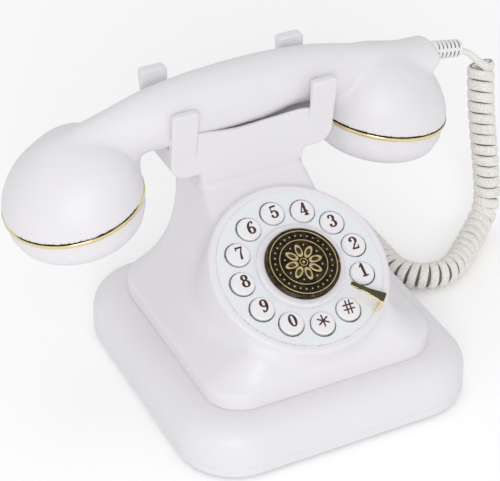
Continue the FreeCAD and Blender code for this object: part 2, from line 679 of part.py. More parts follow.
def make_stop():
    """Finger stop: an arm that widens outward, with a tab down into the bezel."""
    body = doc.addObject("PartDesign::Body", "finger_stop")
    plan = sketch_on(body, rise=S.stop_rise)
    slim = S.stop_narrow / 2
    wide = S.stop_flare / 2
    outline(plan, [(stop_inner, -slim), (S.stop_bend, -slim), (stop_outer, -wide), (stop_outer, wide),
                   (S.stop_bend, slim), (stop_inner, slim)])
    pad(body, plan, S.stop_thick)
    half = S.stop_tab / 2
    tab_foot = S.stop_rise - S.stop_hook + S.stop_thick
    block(body, (stop_outer - S.stop_thick, stop_outer, -half, half), tab_foot, S.stop_hook)
    place = DIAL.multiply(Placement(Vector(), Rotation(Vector(0, 0, 1), float(S.stop_angle))))
    return keep(body, "finger_stop", place)


def make_mat():
    body = doc.addObject("PartDesign::Body", "keypad_membrane")
    plan = sketch_on(body, rise=mat_top - S.mat_thick)
    circle(plan, mat_wide)
    pad(body, plan, S.mat_thick)
    domes = sketch_on(body, rise=mat_top)
    for index in range(12):
        circle(domes, S.mat_dome, *key_spot(index))
    pad(body, domes, S.dome_tall)
    holes = sketch_on(body, rise=mat_top - S.mat_thick)
    for x, y in PINS:
        circle(holes, S.small_wide + S.screw_slack * 2, x, y)
    pocket(body, holes, S.mat_thick, upward=True)
    return keep(body, "keypad_membrane", DIAL)


def make_keypad_board():
    body = doc.addObject("PartDesign::Body", "keypad_board")
    plan = sketch_on(body, rise=board_under)
    circle(plan, mat_wide)
    pad(body, plan, S.board_thick)
    holes = sketch_on(body, rise=board_under)
    for x, y in PINS:
        circle(holes, S.small_wide + S.screw_slack * 2, x, y)
    pocket(body, holes, S.board_thick, upward=True)
    block(body, around(S.chip_wide, S.chip_deep), board_under - S.chip_tall, S.chip_tall)
    return keep(body, "keypad_board", DIAL)


# Cradle and hook
def outer_foot(edge):
    """Test for the saddle's lower outer edges, which run from front to back."""
    ends = edge.Vertexes
    return all(abs(abs(end.X) - float(S.horn_reach)) < 0.01 and abs(end.Z - float(S.flank_foot)) < 0.01
               for end in ends)


def abs_of(length):
    return -length if float(length) < 0 else length


def make_cradle():
    body = doc.addObject("PartDesign::Body", "cradle")
    low = S.neck_top
    half = S.neck_wide / 2
    reach = S.horn_reach
    foot = S.flank_foot
    front = sketch_on(body, "XZ_Plane", -S.neck_middle)
    outline(front, [(-half, low), (half, low), (half, foot), (reach, foot), (reach, S.wall_high),
                    (-reach, S.wall_high), (-reach, foot), (-half, foot)])
    pad(body, front, S.neck_deep, midplane=True)
    round_over(body, outer_foot, S.flank_round)
    dip = sketch_on(body, "XZ_Plane", -S.neck_middle)
    chord = reach - S.horn_wide
    bow = (chord * (float(chord) / float(S.wall_dip)) + S.wall_dip) / 2
    circle(dip, bow * 2, 0, S.wall_high - S.wall_dip + bow)
    pocket(body, dip, S.neck_deep, midplane=True)
    trough = sketch_on(body, "XZ_Plane", -S.neck_middle)
    outline(trough, box_points(dim(0), reach * 3, S.saddle_high + S.horn_reach, S.horn_reach * 2))
    pocket(body, trough, S.neck_deep - S.cradle_side * 2, midplane=True)
    inside = sketch_on(body, "XZ_Plane", -S.neck_middle)
    skin = S.cradle_side
    roof = S.saddle_high - skin
    turn = S.flank_round
    outline(inside, [(skin - half, low), (half - skin, low), (half - skin, foot + skin),
                     (reach - turn, foot + skin), (reach - skin, foot + turn), (reach - skin, roof),
                     (skin - reach, roof), (skin - reach, foot + turn), (turn - reach, foot + skin),
                     (skin - half, foot + skin)])
    pocket(body, inside, S.neck_deep - skin * 2, midplane=True)
    for inner, deep, top in ((S.neck_middle - S.neck_deep / 2, S.horn_front_deep, S.horn_front_top),
                             (S.horn_back, -S.horn_back_deep, S.horn_back_top)):
        plan = sketch_on(body, "XZ_Plane", -inner)
        for side in (-1, 1):
            outline(plan, [((reach - S.horn_wide) * side, foot + turn * 0.4), ((reach - turn) * side, foot),
                           ((reach - turn * 0.3) * side, foot + turn * 0.3), (reach * side, foot + turn),
                           (reach * side, top - S.horn_tip), ((reach - S.horn_tip) * side, top),
                           ((reach - S.horn_wide) * side, top)])
        horn = pad(body, plan, abs_of(deep))
        horn.Reversed = float(deep) < 0
    studs = sketch_on(body, rise=hook_seat)
    for y in HOOK_POSTS:
        circle(studs, S.pin_wide, 0, y)
    pad(body, studs, roof - hook_seat)
    pilots = sketch_on(body, rise=hook_seat)
    for y in HOOK_POSTS:
        circle(pilots, S.small_wide + S.screw_slack, 0, y)
    pocket(body, pilots, S.small_long - S.wall + S.screw_slack, upward=True)
    wells = sketch_on(body, rise=roof)
    for side in (-1, 1):
        circle(wells, S.hook_wide + S.key_slack, S.hook_side * side, S.neck_middle)
    pocket(body, wells, skin, upward=True)
    return keep(body, "cradle", HOME)


def make_hook_plunger():
    body = doc.addObject("PartDesign::Body", "hook_plunger")
    bar = (-S.hook_side - S.hook_wide / 2, S.hook_side + S.hook_wide / 2, S.neck_middle - S.hook_wide / 2,
           S.neck_middle + S.hook_wide / 2)
    block(body, bar, hook_bar, S.hook_bar_tall)
    pins = sketch_on(body, rise=hook_bar)
    for side in (-1, 1):
        circle(pins, S.hook_wide, S.hook_side * side, S.neck_middle)
    pad(body, pins, hook_top - hook_bar)
    round_over(body, at_height(hook_top), S.hook_wide / 5, "Chamfer")
    return keep(body, "hook_plunger", HOME)


def make_hook_spring():
    """Spring as a plain sleeve between the carrier and the plunger's bar."""
    body = doc.addObject("PartDesign::Body", "hook_spring")
    plan = sketch_on(body, rise=hook_seat)
    circle(plan, S.spring_wide, 0, S.neck_middle)
    circle(plan, S.spring_wide - S.spring_wire * 2, 0, S.neck_middle)
    pad(body, plan, hook_bar - hook_seat)
    return keep(body, "hook_spring", HOME)


def make_hook_switch():
    body = doc.addObject("PartDesign::Body", "hook_switch")
    block(body, around(S.carrier_long, S.carrier_broad, S.neck_middle), hook_seat - S.wall, S.wall)
    micro = around(S.chip_wide, S.spring_wide, S.neck_middle)
    block(body, micro, hook_seat - S.wall - S.micro_tall, S.micro_tall)
    holes = sketch_on(body, rise=hook_seat - S.wall)
    for y in HOOK_POSTS:
        circle(holes, S.small_wide + S.screw_slack * 2, 0, y)
    pocket(body, holes, S.wall, upward=True)
    return keep(body, "hook_switch", HOME)


# Handset: shell, rings, caps, capsules, weight, boot
GRIP = [(0, 12.9, 13, 32.3), (16, 12.8, 13, 31.9), (28, 12.5, 13, 31), (42, 12.2, 12.5, 30),
        (52, 11, 11, 28.9), (60, 10, 10, 28), (68, 9.5, 9.5, 26.1), (75, 9, 9, 24.9)]
EAR_TIP = [(82, 6.5, 6, 25), (87, 2.5, 2.5, 24.5)]
CORD_TIP = [(82, 9.6, 8.6, 23), (89, 11, 8, 21.8), (95.5, 12, 7.7, 20.6), (100.5, 11, 7.2, 20),
            (103.5, 8, 5.4, 19.8)]


def grip_loft(sections, skin):
    """Loft through upright ovals along the handset: place, half width, half height, middle height."""
    wires = []
    for along, half_wide, half_tall, middle in sections:
        oval = Part.BSplineCurve()
        angles = [math.pi / 6 * step for step in range(12)]
        wide = half_wide - skin
        tall = half_tall - skin
        ring = [Vector(along, wide * math.cos(angle), middle + tall * math.sin(angle)) for angle in angles]
        oval.interpolate(ring, PeriodicFlag=True)
        wires.append(Part.Wire(oval.toShape()))
    return Part.makeLoft(wires, True)


def cup_in_handset(side):
    return HANDSET.inverse().multiply(cup_place(side))


def make_handset_shell():
    skin = float(S.wall)
    ear_side = [(-along, wide, tall, middle) for along, wide, tall, middle in GRIP[1:]]
    ear_end = [(-along, wide, tall, middle) for along, wide, tall, middle in EAR_TIP]
    whole = ear_end[::-1] + ear_side[::-1] + GRIP + CORD_TIP
    shell = grip_loft(whole, 0)
    channel = grip_loft(ear_side[:5][::-1] + GRIP[:6], skin)
    rim = float(S.trim_tall) / 2
    for side in (-1, 1):
        place = cup_in_handset(side)
        below = Part.makeBox(vast, vast, vast, Vector(-vast / 2, -vast / 2, rim - vast))
        dome = Part.makeSphere(float(S.dome_wide) / 2, Vector(0, 0, float(S.dome_lift))).cut(below)
        hollow = Part.makeSphere(float(S.dome_wide) / 2 - skin, Vector(0, 0, float(S.dome_lift)))
        dome.Placement = place
        hollow.Placement = place
        below.Placement = place
        shell = shell.fuse(dome)
        channel = channel.fuse(hollow)
    shell = shell.cut(channel)
    socket = Part.makeCylinder(float(S.boot_wide) / 2 + float(S.boot_slack), float(S.boot_long), Vector())
    socket.Placement = HANDSET.inverse().multiply(BOOT)
    return keep_shape("handset_shell", shell.cut(socket), HANDSET)


BOOT_LEAN = Rotation(Vector(0, 1, 0), 90 + float(S.boot_dip_angle))
BOOT = HANDSET.multiply(Placement(Vector(float(S.boot_start), 0, float(S.boot_high)), BOOT_LEAN))


def make_boot():
    """Strain relief with ring grooves, tapering to the lead."""
    half = S.boot_wide / 2
    tip = S.boot_tip / 2
    slim = (half - tip) / S.boot_ribs
    points = [(0, 0), (half, 0)]
    start = S.boot_collar
    step = (S.boot_long - start) / S.boot_ribs
    for rib in range(int(float(S.boot_ribs))):
        radius = half - slim * rib
        points.append((radius, start + step * rib))
        points.append((radius - S.boot_groove, start + step * rib))
        points.append((radius - S.boot_groove, start + step * (rib + 0.35)))
        points.append((radius, start + step * (rib + 0.35)))
    points.append((tip, S.boot_long))
    points.append((0, S.boot_long))
    return turned("cord_boot", points, BOOT)


def make_ring(label, side):
    half = S.trim_wide / 2
    inner = S.sleeve_wide / 2 + S.boot_slack
    tall = S.trim_tall / 2
    bead = S.trim_groove
    return turned(label, [(inner, -tall), (half - bead, -tall), (half, bead - tall), (half, tall - bead),
                          (half - bead, tall), (inner, tall)], cup_place(side))


def make_cap(label, side):
    half = S.cap_wide / 2
    slim = half - S.cap_step_in
    top = -S.trim_tall / 2
    low = top - S.cap_tall
    outer = S.sleeve_wide / 2
    inner = outer - S.sleeve_wall
    body = turned(label, [(0, low), (slim, low), (slim, top - S.cap_step), (half, top - S.cap_step),
                          (half, top), (outer, top), (outer, top + S.sleeve_tall),
                          (inner, top + S.sleeve_tall), (inner, low + S.cap_round),
                          (inner - S.ledge, low + S.cap_wall), (0, low + S.cap_wall)], cup_place(side))
    round_over(body, at_height(low), S.cap_round)
    holes = sketch_on(body, rise=low)
    circle(holes, S.sound_hole)
    for turn in range(6):
        angle = math.radians(60 * turn)
        circle(holes, S.sound_hole, S.sound_ring * math.cos(angle), S.sound_ring * math.sin(angle))
    pocket(body, holes, S.cap_wall, upward=True)
    return body


def make_capsule(label, side, wide, tall):
    low = -S.trim_tall / 2 - S.cap_tall + S.cap_wall
    half = wide / 2
    step = tall / 3
    return turned(label, [(0, low), (half, low), (half, low + step * 2), (half * 0.7, low + step * 2),
                          (half * 0.7, low + tall), (0, low + tall)], cup_place(side))


def make_weight():
    body = doc.addObject("PartDesign::Body", "handset_weight")
    half = S.weight_long / 2
    broad = S.weight_wide / 2
    block(body, (-half, half, -broad, broad), S.weight_foot, S.weight_tall)
    return keep(body, "handset_weight", HANDSET)


# Cord: boot, lead, curls, lead, plug
def runs_and_arcs(points, share=0.45):
    """Straight runs joined by tangent arcs; each arc takes a share of the shorter run beside it."""
    points = [Vector(*point) for point in points]
    edges = []
    here = points[0]
    for before, corner, after in zip(points, points[1:], points[2:]):
        into = (corner - before).normalize()
        out = (after - corner).normalize()
        turn = into.getAngle(out)
        reach = share * min(corner.distanceToPoint(before), after.distanceToPoint(corner))
        radius = reach / math.tan(turn / 2)
        print(f"lead bend {math.degrees(turn):.0f} degrees, radius {radius:.1f} mm")
        start = corner - into * reach
        end = corner + out * reach
        middle_way = (out - into).normalize()
        centre = corner + middle_way * (radius / math.cos(turn / 2))
        middle = centre - middle_way * radius
        edges.append(Part.makeLine(here, start))
        edges.append(Part.Arc(start, middle, end).toShape())
        here = end
    edges.append(Part.makeLine(here, points[-1]))
    return Part.Wire(edges)


def swept(path, ring):
    pipe = Part.BRepOffsetAPI.MakePipeShell(path)
    pipe.add(ring)
    pipe.build()
    pipe.makeSolid()
    return pipe.shape()


def tube(path, wide, sides=None):
    """Tube along a path, round or with flat sides, square to the path at its start."""
    start = path.Edges[0].valueAt(path.Edges[0].FirstParameter)
    along = path.Edges[0].tangentAt(path.Edges[0].FirstParameter)
    if sides is None:
        return swept(path, Part.Wire(Part.Circle(start, along, wide / 2).toShape()))
    across = Vector(0, 0, 1).cross(along) if abs(along.z) < 0.9 else Vector(1, 0, 0).cross(along)
    across.normalize()
    up = along.cross(across).normalize()
    corners = [start + across * (math.cos(2 * math.pi * side / sides) * wide / 2)
               + up * (math.sin(2 * math.pi * side / sides) * wide / 2) for side in range(sides)]
    return swept(path, Part.makePolygon(corners + corners[:1]))


def biarc(start, start_way, end, end_way):
    """Two arcs from point to point, tangent to both given directions and to each other."""
    chord = end - start
    ways = start_way + end_way
    slope = 2 * (1 - start_way.dot(end_way))
    both = chord.dot(ways)
    if slope < 1e-9:
        reach = chord.dot(chord) / (4 * chord.dot(end_way))
    else:
        reach = (-both + math.sqrt(both * both + 2 * (1 - start_way.dot(end_way)) * chord.dot(chord))) / slope
    first = start + start_way * reach
    last = end - end_way * reach
    joint = (first + last) * 0.5
    arcs = []
    for a, way, b in ((start, start_way, joint), (end, -1 * end_way, joint)):
        span = b - a
        rise = way.cross(span).cross(way)
        rise.normalize()
        radius = span.dot(span) / (2 * span.dot(rise))
        centre = a + rise * radius
        half = (a - centre + (b - centre)).normalize()
        middle = centre + half * radius
        arcs.append(Part.Arc(a, middle, b) if a is start else Part.Arc(b, middle, a))
    return arcs


LEAD_IN = 3.4


def least_gap(path, wire):
    """Least gap of a tube to itself, on points along its path further apart than half a curl."""
    points = path.discretize(Distance=wire / 6)
    apart = 18
    least = min(a.distanceToPoint(b) for index, a in enumerate(points) for b in points[index + apart:])
    return least - wire


def curls(axis, wide, wire, pitch):
    """Curls round an axis curve, ending straight on the axis at both ends."""
    length = axis.length()
    turns = round((length - wire * LEAD_IN * 2) / pitch)
    steps = turns * 4
    radius = (wide - wire) / 2
    lead_in = wire * LEAD_IN
    frames = []
    side = None
    count = steps + 1
    for index in range(count):
        at = lead_in + (length - 2 * lead_in) * index / steps
        along = axis.tangent(axis.parameterAtDistance(at))[0]
        point = axis.value(axis.parameterAtDistance(at))
        if side is None:
            side = Vector(0, 1, 0)
        side = (side - along * side.dot(along)).normalize()
        frames.append((point, along, side, along.cross(side)))
    pace = (length - 2 * lead_in) / steps
    points = []
    for index, (point, along, side, up) in enumerate(frames):
        angle = math.pi / 2 * index
        spoke = side * math.cos(angle) + up * math.sin(angle)
        spin = up * math.cos(angle) - side * math.sin(angle)
        way = (along * pace + spin * (radius * math.pi / 2)).normalize()
        points.append((point + spoke * radius, way))
    start = axis.value(axis.FirstParameter)
    start_way = axis.tangent(axis.FirstParameter)[0]
    end = axis.value(axis.LastParameter)
    end_way = axis.tangent(axis.LastParameter)[0]
    stub = wire
    knots = [(start + start_way * stub, start_way)] + points + [(end - end_way * stub, end_way)]
    edges = [Part.makeLine(start, knots[0][0])]
    tightest = 1e9
    for (a, way_a), (b, way_b) in zip(knots, knots[1:]):
        for arc in biarc(a, way_a, b, way_b):
            edge = arc.toShape()
            tightest = min(tightest, edge.Curve.Radius)
            edges.append(edge)
    edges.append(Part.makeLine(knots[-1][0], end))
    path = Part.Wire(edges)
    print(f"curls {turns}, tightest arc {tightest:.2f} mm, length {length:.0f} mm, "
          f"least gap {least_gap(path, wire):.2f} mm")
    return path


ROUTE = [(132.6, 43, 96.5), (134.4, 43, 79), (138, 43, 58), (141.2, 43, 39), (141.9, 43, 19.6),
         (133.2, 35.2, 7.2), (121.2, 24.4, 7.2), (105.4, 10.2, 7.2), (90.9, 10.4, 7.2), (80.8, 20.6, 7.2),
         (80.8, 34.3, 7.2), (80.8, 48.8, 7.2), (80.8, 64, 7.2)]


def make_cords():
    route = Part.BSplineCurve()
    route.buildFromPoles([Vector(*point) for point in ROUTE], False, 2)
    path = curls(route, float(S.coil_wide), float(S.wire), float(S.turn_pitch))
    keep_shape("curly_cord", tube(path, float(S.wire), 6))
    thin = float(S.lead_wide)
    tip = BOOT.multVec(Vector(0, 0, float(S.boot_long)))
    out = BOOT.Rotation.multVec(Vector(0, 0, 1))
    first = Vector(*ROUTE[0])
    down = (Vector(*ROUTE[1]) - first).normalize()
    corner = tip + out * float(S.lead_out)
    upper = runs_and_arcs([tip, corner, first - down * float(S.lead_drop), first])
    keep_shape("handset_lead", tube(upper, thin))
    plug_end = Vector(float(S.jack_side + S.body_shift), float(jack_back + S.plug_out), float(plug_high))
    last = Vector(*ROUTE[-1])
    lower = runs_and_arcs([last, (last.x, 76, last.z), (last.x, 96, 2.8), (62, 114, 2.8),
                           (plug_end.x, 106, plug_end.z), plug_end])
    keep_shape("base_lead", tube(lower, thin))


def make_plug():
    body = doc.addObject("PartDesign::Body", "cord_plug")
    wide = S.jack_wide - S.jack_skin * 2 - S.screw_slack
    tall = S.jack_tall - S.jack_skin * 2 - S.screw_slack
    sketch = sketch_on(body, "XZ_Plane", -(jack_back + S.plug_out))
    outline(sketch, box_points(S.jack_side, wide, plug_high, tall))
    pad(body, sketch, S.plug_out + S.plug_in)
    return keep(body, "cord_plug", HOME)


# Build
board_foot = tray_inside + S.board_lift
board_top = board_foot + S.board_thick
plug_high = board_top + S.jack_tall / 2
well_floor = S.medal_rise - S.medal_thick - S.medal_swing
hook_seat = S.neck_top - S.wall
hook_bar = S.saddle_high - S.cradle_side - S.hook_rise - S.hook_bar_tall - S.wall
hook_top = S.saddle_high + S.hook_proud
HOOK_POSTS = [S.neck_middle - S.hook_post, S.neck_middle + S.hook_post]

make_tray()
make_studs("rubber_feet", FEET, [(S.foot_wide, dim(0), S.foot_thick)])
make_studs("tray_screws", POSTS, [(S.head_wide, S.foot_stand + S.seam / 5, S.head_tall - S.seam / 5),
                                  (S.screw_wide, S.foot_stand + S.head_tall, S.screw_long)])
make_plinth()
make_board()
shank_foot = board_foot - S.board_lift / 2
make_studs("board_screws", BOARD_SPOTS, [(S.screw_wide, shank_foot, board_top - shank_foot),
                                         (S.head_wide, board_top, S.head_tall)])
make_jack("handset_jack", S.jack_side, S.jack_wide, S.jack_tall)
make_jack("line_jack", -S.jack_side, S.line_wide, S.line_tall)
make_switch()
make_speaker()
make_ballast()
make_housing()
make_plate()
LABELS = ["1", "2", "3", "4", "5", "6", "7", "8", "9", "0", "star", "hash"]
for index, name in enumerate(LABELS):
    make_key(f"button_{name}", index)
make_disc()
make_rocker()
make_stop()
make_mat()
make_keypad_board()
make_studs("keypad_screws", PINS, [(S.small_head, board_under - S.small_head_tall, S.small_head_tall),
                                   (S.small_wide, board_under, S.small_long)], DIAL)
make_cradle()
make_hook_plunger()
make_hook_spring()
make_hook_switch()
HOOK_SPOTS = [(dim(0), y) for y in HOOK_POSTS]
carrier_under = hook_seat - S.wall
make_studs("hook_screws", HOOK_SPOTS, [(S.small_head, carrier_under - S.small_head_tall, S.small_head_tall),
                                       (S.small_wide, carrier_under, S.small_long)])
make_handset_shell()
for name, side in (("earpiece", -1), ("mouthpiece", 1)):
    make_ring(f"{name}_ring", side)
    make_cap(f"{name}_cap", side)
make_capsule("receiver_capsule", -1, S.receiver_wide, S.receiver_tall)
make_capsule("microphone_capsule", 1, S.microphone_wide, S.microphone_tall)
make_weight()
make_boot()
make_cords()
make_plug()

# Checks and files
doc.recompute()
os.makedirs("parts", exist_ok=True)
for obj in doc.Objects:
    if "Invalid" in obj.State or "Error" in obj.State:
        raise RuntimeError(f"{obj.Name} of {obj.Label} is {obj.State}")
for node in nodes:
    if node.Shape.isNull() or not node.Shape.isValid():
        raise RuntimeError(f"{node.Label} has no valid shape")
    node.Shape.exportStep(f"parts/{node.Label}.step")
print(len(nodes), "sub-parts written")
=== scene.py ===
import json
import math

import bpy
import numpy as np
from mathutils import Matrix, Vector


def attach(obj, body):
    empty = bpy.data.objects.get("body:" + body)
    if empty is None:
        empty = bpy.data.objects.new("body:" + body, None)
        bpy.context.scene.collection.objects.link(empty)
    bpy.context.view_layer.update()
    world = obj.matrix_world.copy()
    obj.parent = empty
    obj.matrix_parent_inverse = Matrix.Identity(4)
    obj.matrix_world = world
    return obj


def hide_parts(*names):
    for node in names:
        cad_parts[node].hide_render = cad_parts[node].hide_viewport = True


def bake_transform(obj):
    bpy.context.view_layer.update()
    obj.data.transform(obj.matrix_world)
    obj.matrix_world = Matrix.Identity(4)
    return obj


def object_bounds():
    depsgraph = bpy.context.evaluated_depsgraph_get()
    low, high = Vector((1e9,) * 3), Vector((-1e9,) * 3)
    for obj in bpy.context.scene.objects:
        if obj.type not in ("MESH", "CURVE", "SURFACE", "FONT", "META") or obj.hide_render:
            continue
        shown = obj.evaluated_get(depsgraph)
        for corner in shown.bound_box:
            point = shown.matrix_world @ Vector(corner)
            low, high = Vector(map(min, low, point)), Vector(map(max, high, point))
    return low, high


# Looks of a retro desk telephone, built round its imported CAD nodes. Metres in Blender, millimetres in forms.

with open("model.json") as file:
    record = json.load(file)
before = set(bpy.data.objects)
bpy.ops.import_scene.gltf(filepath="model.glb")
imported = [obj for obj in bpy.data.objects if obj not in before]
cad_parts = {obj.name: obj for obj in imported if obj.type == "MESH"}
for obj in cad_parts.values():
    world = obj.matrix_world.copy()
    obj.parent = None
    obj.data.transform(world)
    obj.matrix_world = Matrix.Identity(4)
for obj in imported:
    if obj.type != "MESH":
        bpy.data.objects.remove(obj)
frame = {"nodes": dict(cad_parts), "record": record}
cad_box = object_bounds()
MM = 0.001


# Camera at the photograph's place, with its lens, as fitted to the photograph's perspective
LENS = 135.94
AROUND = math.radians(-26.22)
ABOVE = math.radians(35.42)
AWAY = 0.82395
AIM = Vector((-0.0089, 0, 0.06805))


def add_camera():
    data = bpy.data.cameras.new("camera")
    camera = bpy.data.objects.new("camera", data)
    bpy.context.collection.objects.link(camera)
    data.sensor_width = 36
    data.lens = LENS
    level = math.cos(ABOVE)
    back = Vector((math.sin(AROUND) * level, -math.cos(AROUND) * level, math.sin(ABOVE)))
    camera.location = AIM + back * AWAY
    camera.rotation_euler = (math.pi / 2 - ABOVE, 0, AROUND)
    bpy.context.scene.camera = camera


add_camera()


# Cord: upper lead, curls, rear lead
def route_curve(name, points, wide=0.0, growth=None):
    """Smooth open line with the given control points in millimetres, growing thicker by the given shares.

    The points' radius carries the scale, since Blender widens a curve's box by it.
    """
    data = bpy.data.curves.new(name, "CURVE")
    data.dimensions = "3D"
    data.resolution_u = 24
    spline = data.splines.new("NURBS")
    spline.points.add(len(points) - 1)
    for spot, point, share in zip(spline.points, points, growth or [1] * len(points)):
        spot.co = [value * MM for value in point] + [1]
        spot.radius = share * MM
    spline.order_u = 3
    spline.use_endpoint_u = True
    data.bevel_depth = wide / 2
    data.bevel_resolution = 6
    data.use_fill_caps = True
    piece = bpy.data.objects.new(name, data)
    bpy.context.collection.objects.link(piece)
    return piece


def line_points(points):
    """Points in metres along the smooth line of a route."""
    guide = route_curve("route", points)
    mesh = bpy.data.meshes.new_from_object(guide)
    found = np.array([vertex.co[:] for vertex in mesh.vertices])
    data = guide.data
    bpy.data.objects.remove(guide)
    bpy.data.curves.remove(data)
    bpy.data.meshes.remove(mesh)
    return found


def length_of(points):
    return float(np.linalg.norm(np.diff(points, axis=0), axis=1).sum())


def spaced(points, count):
    """The same line with evenly spaced points."""
    far = np.concatenate([[0], np.cumsum(np.linalg.norm(np.diff(points, axis=0), axis=1))])
    want = np.linspace(0, far[-1], count)
    return np.stack([np.interp(want, far, points[:, axis]) for axis in range(3)], axis=1)


def unit(vectors):
    return vectors / np.linalg.norm(vectors, axis=-1, keepdims=True)


def frames_along(points, first):
    """Directions along a line, and two across it that turn as little as possible."""
    along = unit(np.gradient(points, axis=0))
    side = np.array(first, float)
    sides = []
    for way in along:
        side = side - way * side.dot(way)
        side = side / np.linalg.norm(side)
        sides.append(side)
    sides = np.array(sides)
    return along, sides, np.cross(along, sides)


def mesh_piece(name, vertices, faces, smooth=True):
    mesh = bpy.data.meshes.new(name)
    mesh.from_pydata([tuple(vertex) for vertex in vertices], [], [tuple(face) for face in faces])
    mesh.update()
    if smooth:
        mesh.shade_smooth()
    piece = bpy.data.objects.new(name, mesh)
    bpy.context.collection.objects.link(piece)
    return piece


def tube_mesh(name, rings, points):
    """Mesh tube from rings of points, with closed ends and coordinates along and around it."""
    around = rings.shape[1]
    vertices = rings.reshape(-1, 3)
    faces = []
    for ring in range(len(points) - 1):
        for spoke in range(around):
            a = ring * around + spoke
            b = ring * around + (spoke + 1) % around
            faces.append((a, b, b + around, a + around))
    faces.append(tuple(range(around))[::-1])
    faces.append(tuple(range(len(vertices) - around, len(vertices))))
    piece = mesh_piece(name, vertices, faces)
    layer = piece.data.uv_layers.new(name="along")
    far = np.concatenate([[0], np.cumsum(np.linalg.norm(np.diff(points, axis=0), axis=1))])
    for polygon in piece.data.polygons:
        if len(polygon.vertices) != 4:
            continue
        wraps = max(v % around for v in polygon.vertices) - min(v % around for v in polygon.vertices) > 1
        for loop in polygon.loop_indices:
            vertex = piece.data.loops[loop].vertex_index
            spoke = vertex % around
            if wraps and spoke == 0:
                spoke = around
            layer.data[loop].uv = (far[vertex // around], spoke / around)
    return piece


# Routes in millimetres: the curls' axis, the lead from the strain relief to them, and on to the plug
COIL = [(133.4, 43, 99), (134.8, 43, 79), (138, 43, 58), (141.4, 43, 37), (143.8, 42.4, 15.4),
        (134.8, 36.8, 7.4), (121.9, 25.4, 7.2), (105.6, 11.8, 7.2), (91.2, 12, 7.2), (81.1, 21.8, 7.2),
        (80.8, 34.3, 7.2), (80.8, 48.8, 7.2), (80.8, 64, 7.2)]
UPPER = [(105.57, 41.74, 113.05), (122.8, 42.6, 109.6), (129.6, 38.7, 101.9), (133.4, 38.7, 99)]
LOWER = [(80.8, 64, 7.2), (80.8, 76, 7.2), (80.8, 96, 2.8), (62, 114, 2.8), (37.6, 106, 11.8),
         (37.6, 82.4, 11.8)]
UPPER_GROWTH = [1, 1, 1.25, 1.5]
LEAD_WIDE = 2.8
# Turns: radius of their centreline, distance over which they open, advance of a turn at places along the axis
COIL_RADIUS = 4.75
FIRST_RADIUS = 4.3
LEAD_IN = 2.5
CLOSED_END = 0.5
PITCH_PLACES = [0, 2.5, 110, 122]
PITCHES = [17, 6.2, 6.2, 4.4, 4.3]
# Lean of the turns sideways and backwards, and where along the axis it comes and goes
SLANT = 0.3
LEAN_BACK = 0.5
LEAN_PLACES = [0.5, 6, 45, 85]
# Band: half of its thickness, least and greatest half of its width, space left between two turns
BAND_THICK = 1.75
BAND_LEAST = 1.0
BAND_MOST = 2.95
BAND_SPACE = 0.14


def curl_line():
    """Centreline of the curls, the way out from their axis, and how far they have opened."""
    axis = spaced(line_points(COIL), 1300)
    along, side, up = frames_along(axis, (0, 1, 0))
    far = np.linspace(0, length_of(axis), len(axis)) / MM
    pitch = np.interp(far, PITCH_PLACES + [far[-1]], PITCHES)
    phase = np.concatenate([[0], np.cumsum(np.diff(far) / pitch[1:])]) * 2 * math.pi - math.pi
    start, end = [np.clip(reach / LEAD_IN, 0, 1) for reach in (far, far[-1] - far - CLOSED_END)]
    start, end = [share ** 2 * (3 - 2 * share) for share in (start, end)]
    radius = (FIRST_RADIUS + (COIL_RADIUS - FIRST_RADIUS) * start) * end
    spoke = np.cos(phase)[:, None] * side - np.sin(phase)[:, None] * up
    lean = np.interp(far, LEAN_PLACES, [0, 1, 1, 0]) * (LEAN_BACK * np.cos(phase) - SLANT * np.sin(phase))
    line = axis + MM * radius[:, None] * (spoke + lean[:, None] * along)
    return line, spoke, np.minimum(start, end), phase


def band_piece(name, line, spoke, grow, phase, around=16):
    """Tube along the curls whose section flattens into a band as wide as the space to the next turn."""
    near = []
    way = unit(np.gradient(line, axis=0))
    for turn in (-2 * math.pi, 2 * math.pi):
        other = np.stack([np.interp(phase + turn, phase, line[:, axis]) for axis in range(3)], axis=1)
        aside = other - line
        gap = np.linalg.norm(aside - way * (aside * way).sum(axis=1)[:, None], axis=1)
        outside = (phase + turn < phase[0]) | (phase + turn > phase[-1])
        near.append(np.where(outside, 1, gap))
    room = np.minimum(near[0], near[1]) / MM
    wide = np.clip((room - BAND_SPACE) / 2, BAND_LEAST, BAND_MOST)
    wide = np.convolve(np.pad(wide, 12, "edge"), np.ones(25) / 25, "valid")
    first = np.where(np.arange(len(line)) < len(line) / 2, UPPER_GROWTH[-1], 1.0) * LEAD_WIDE / 2
    broad = first + (wide - first) * grow
    tall = first + (BAND_THICK - first) * grow
    out = unit(spoke - way * (spoke * way).sum(axis=1)[:, None])
    across = np.cross(way, out)
    angles = np.arange(around) * 2 * math.pi / around
    flat = 1 - 0.3 * grow[:, None]
    cosine = np.sign(np.cos(angles)) * np.abs(np.cos(angles)) ** flat
    sine = np.sign(np.sin(angles)) * np.abs(np.sin(angles)) ** flat
    rings = (line[:, None] + MM * tall[:, None, None] * cosine[..., None] * out[:, None]
             + MM * broad[:, None, None] * sine[..., None] * across[:, None])
    return tube_mesh(name, rings, line)


def add_cords():
    upper = route_curve("upper_lead", UPPER, LEAD_WIDE, UPPER_GROWTH)
    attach(upper, "handset")
    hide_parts("handset_lead")
    length_of(line_points(UPPER))
    line, spoke, grow, phase = curl_line()
    curls = band_piece("curls", line, spoke, grow, phase)
    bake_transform(curls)
    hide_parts("curly_cord")
    lower = route_curve("rear_lead", LOWER, LEAD_WIDE)
    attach(lower, "base")
    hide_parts("base_lead")
    length_of(line_points(LOWER))
    return upper, curls, lower


upper_lead, curls, rear_lead = add_cords()


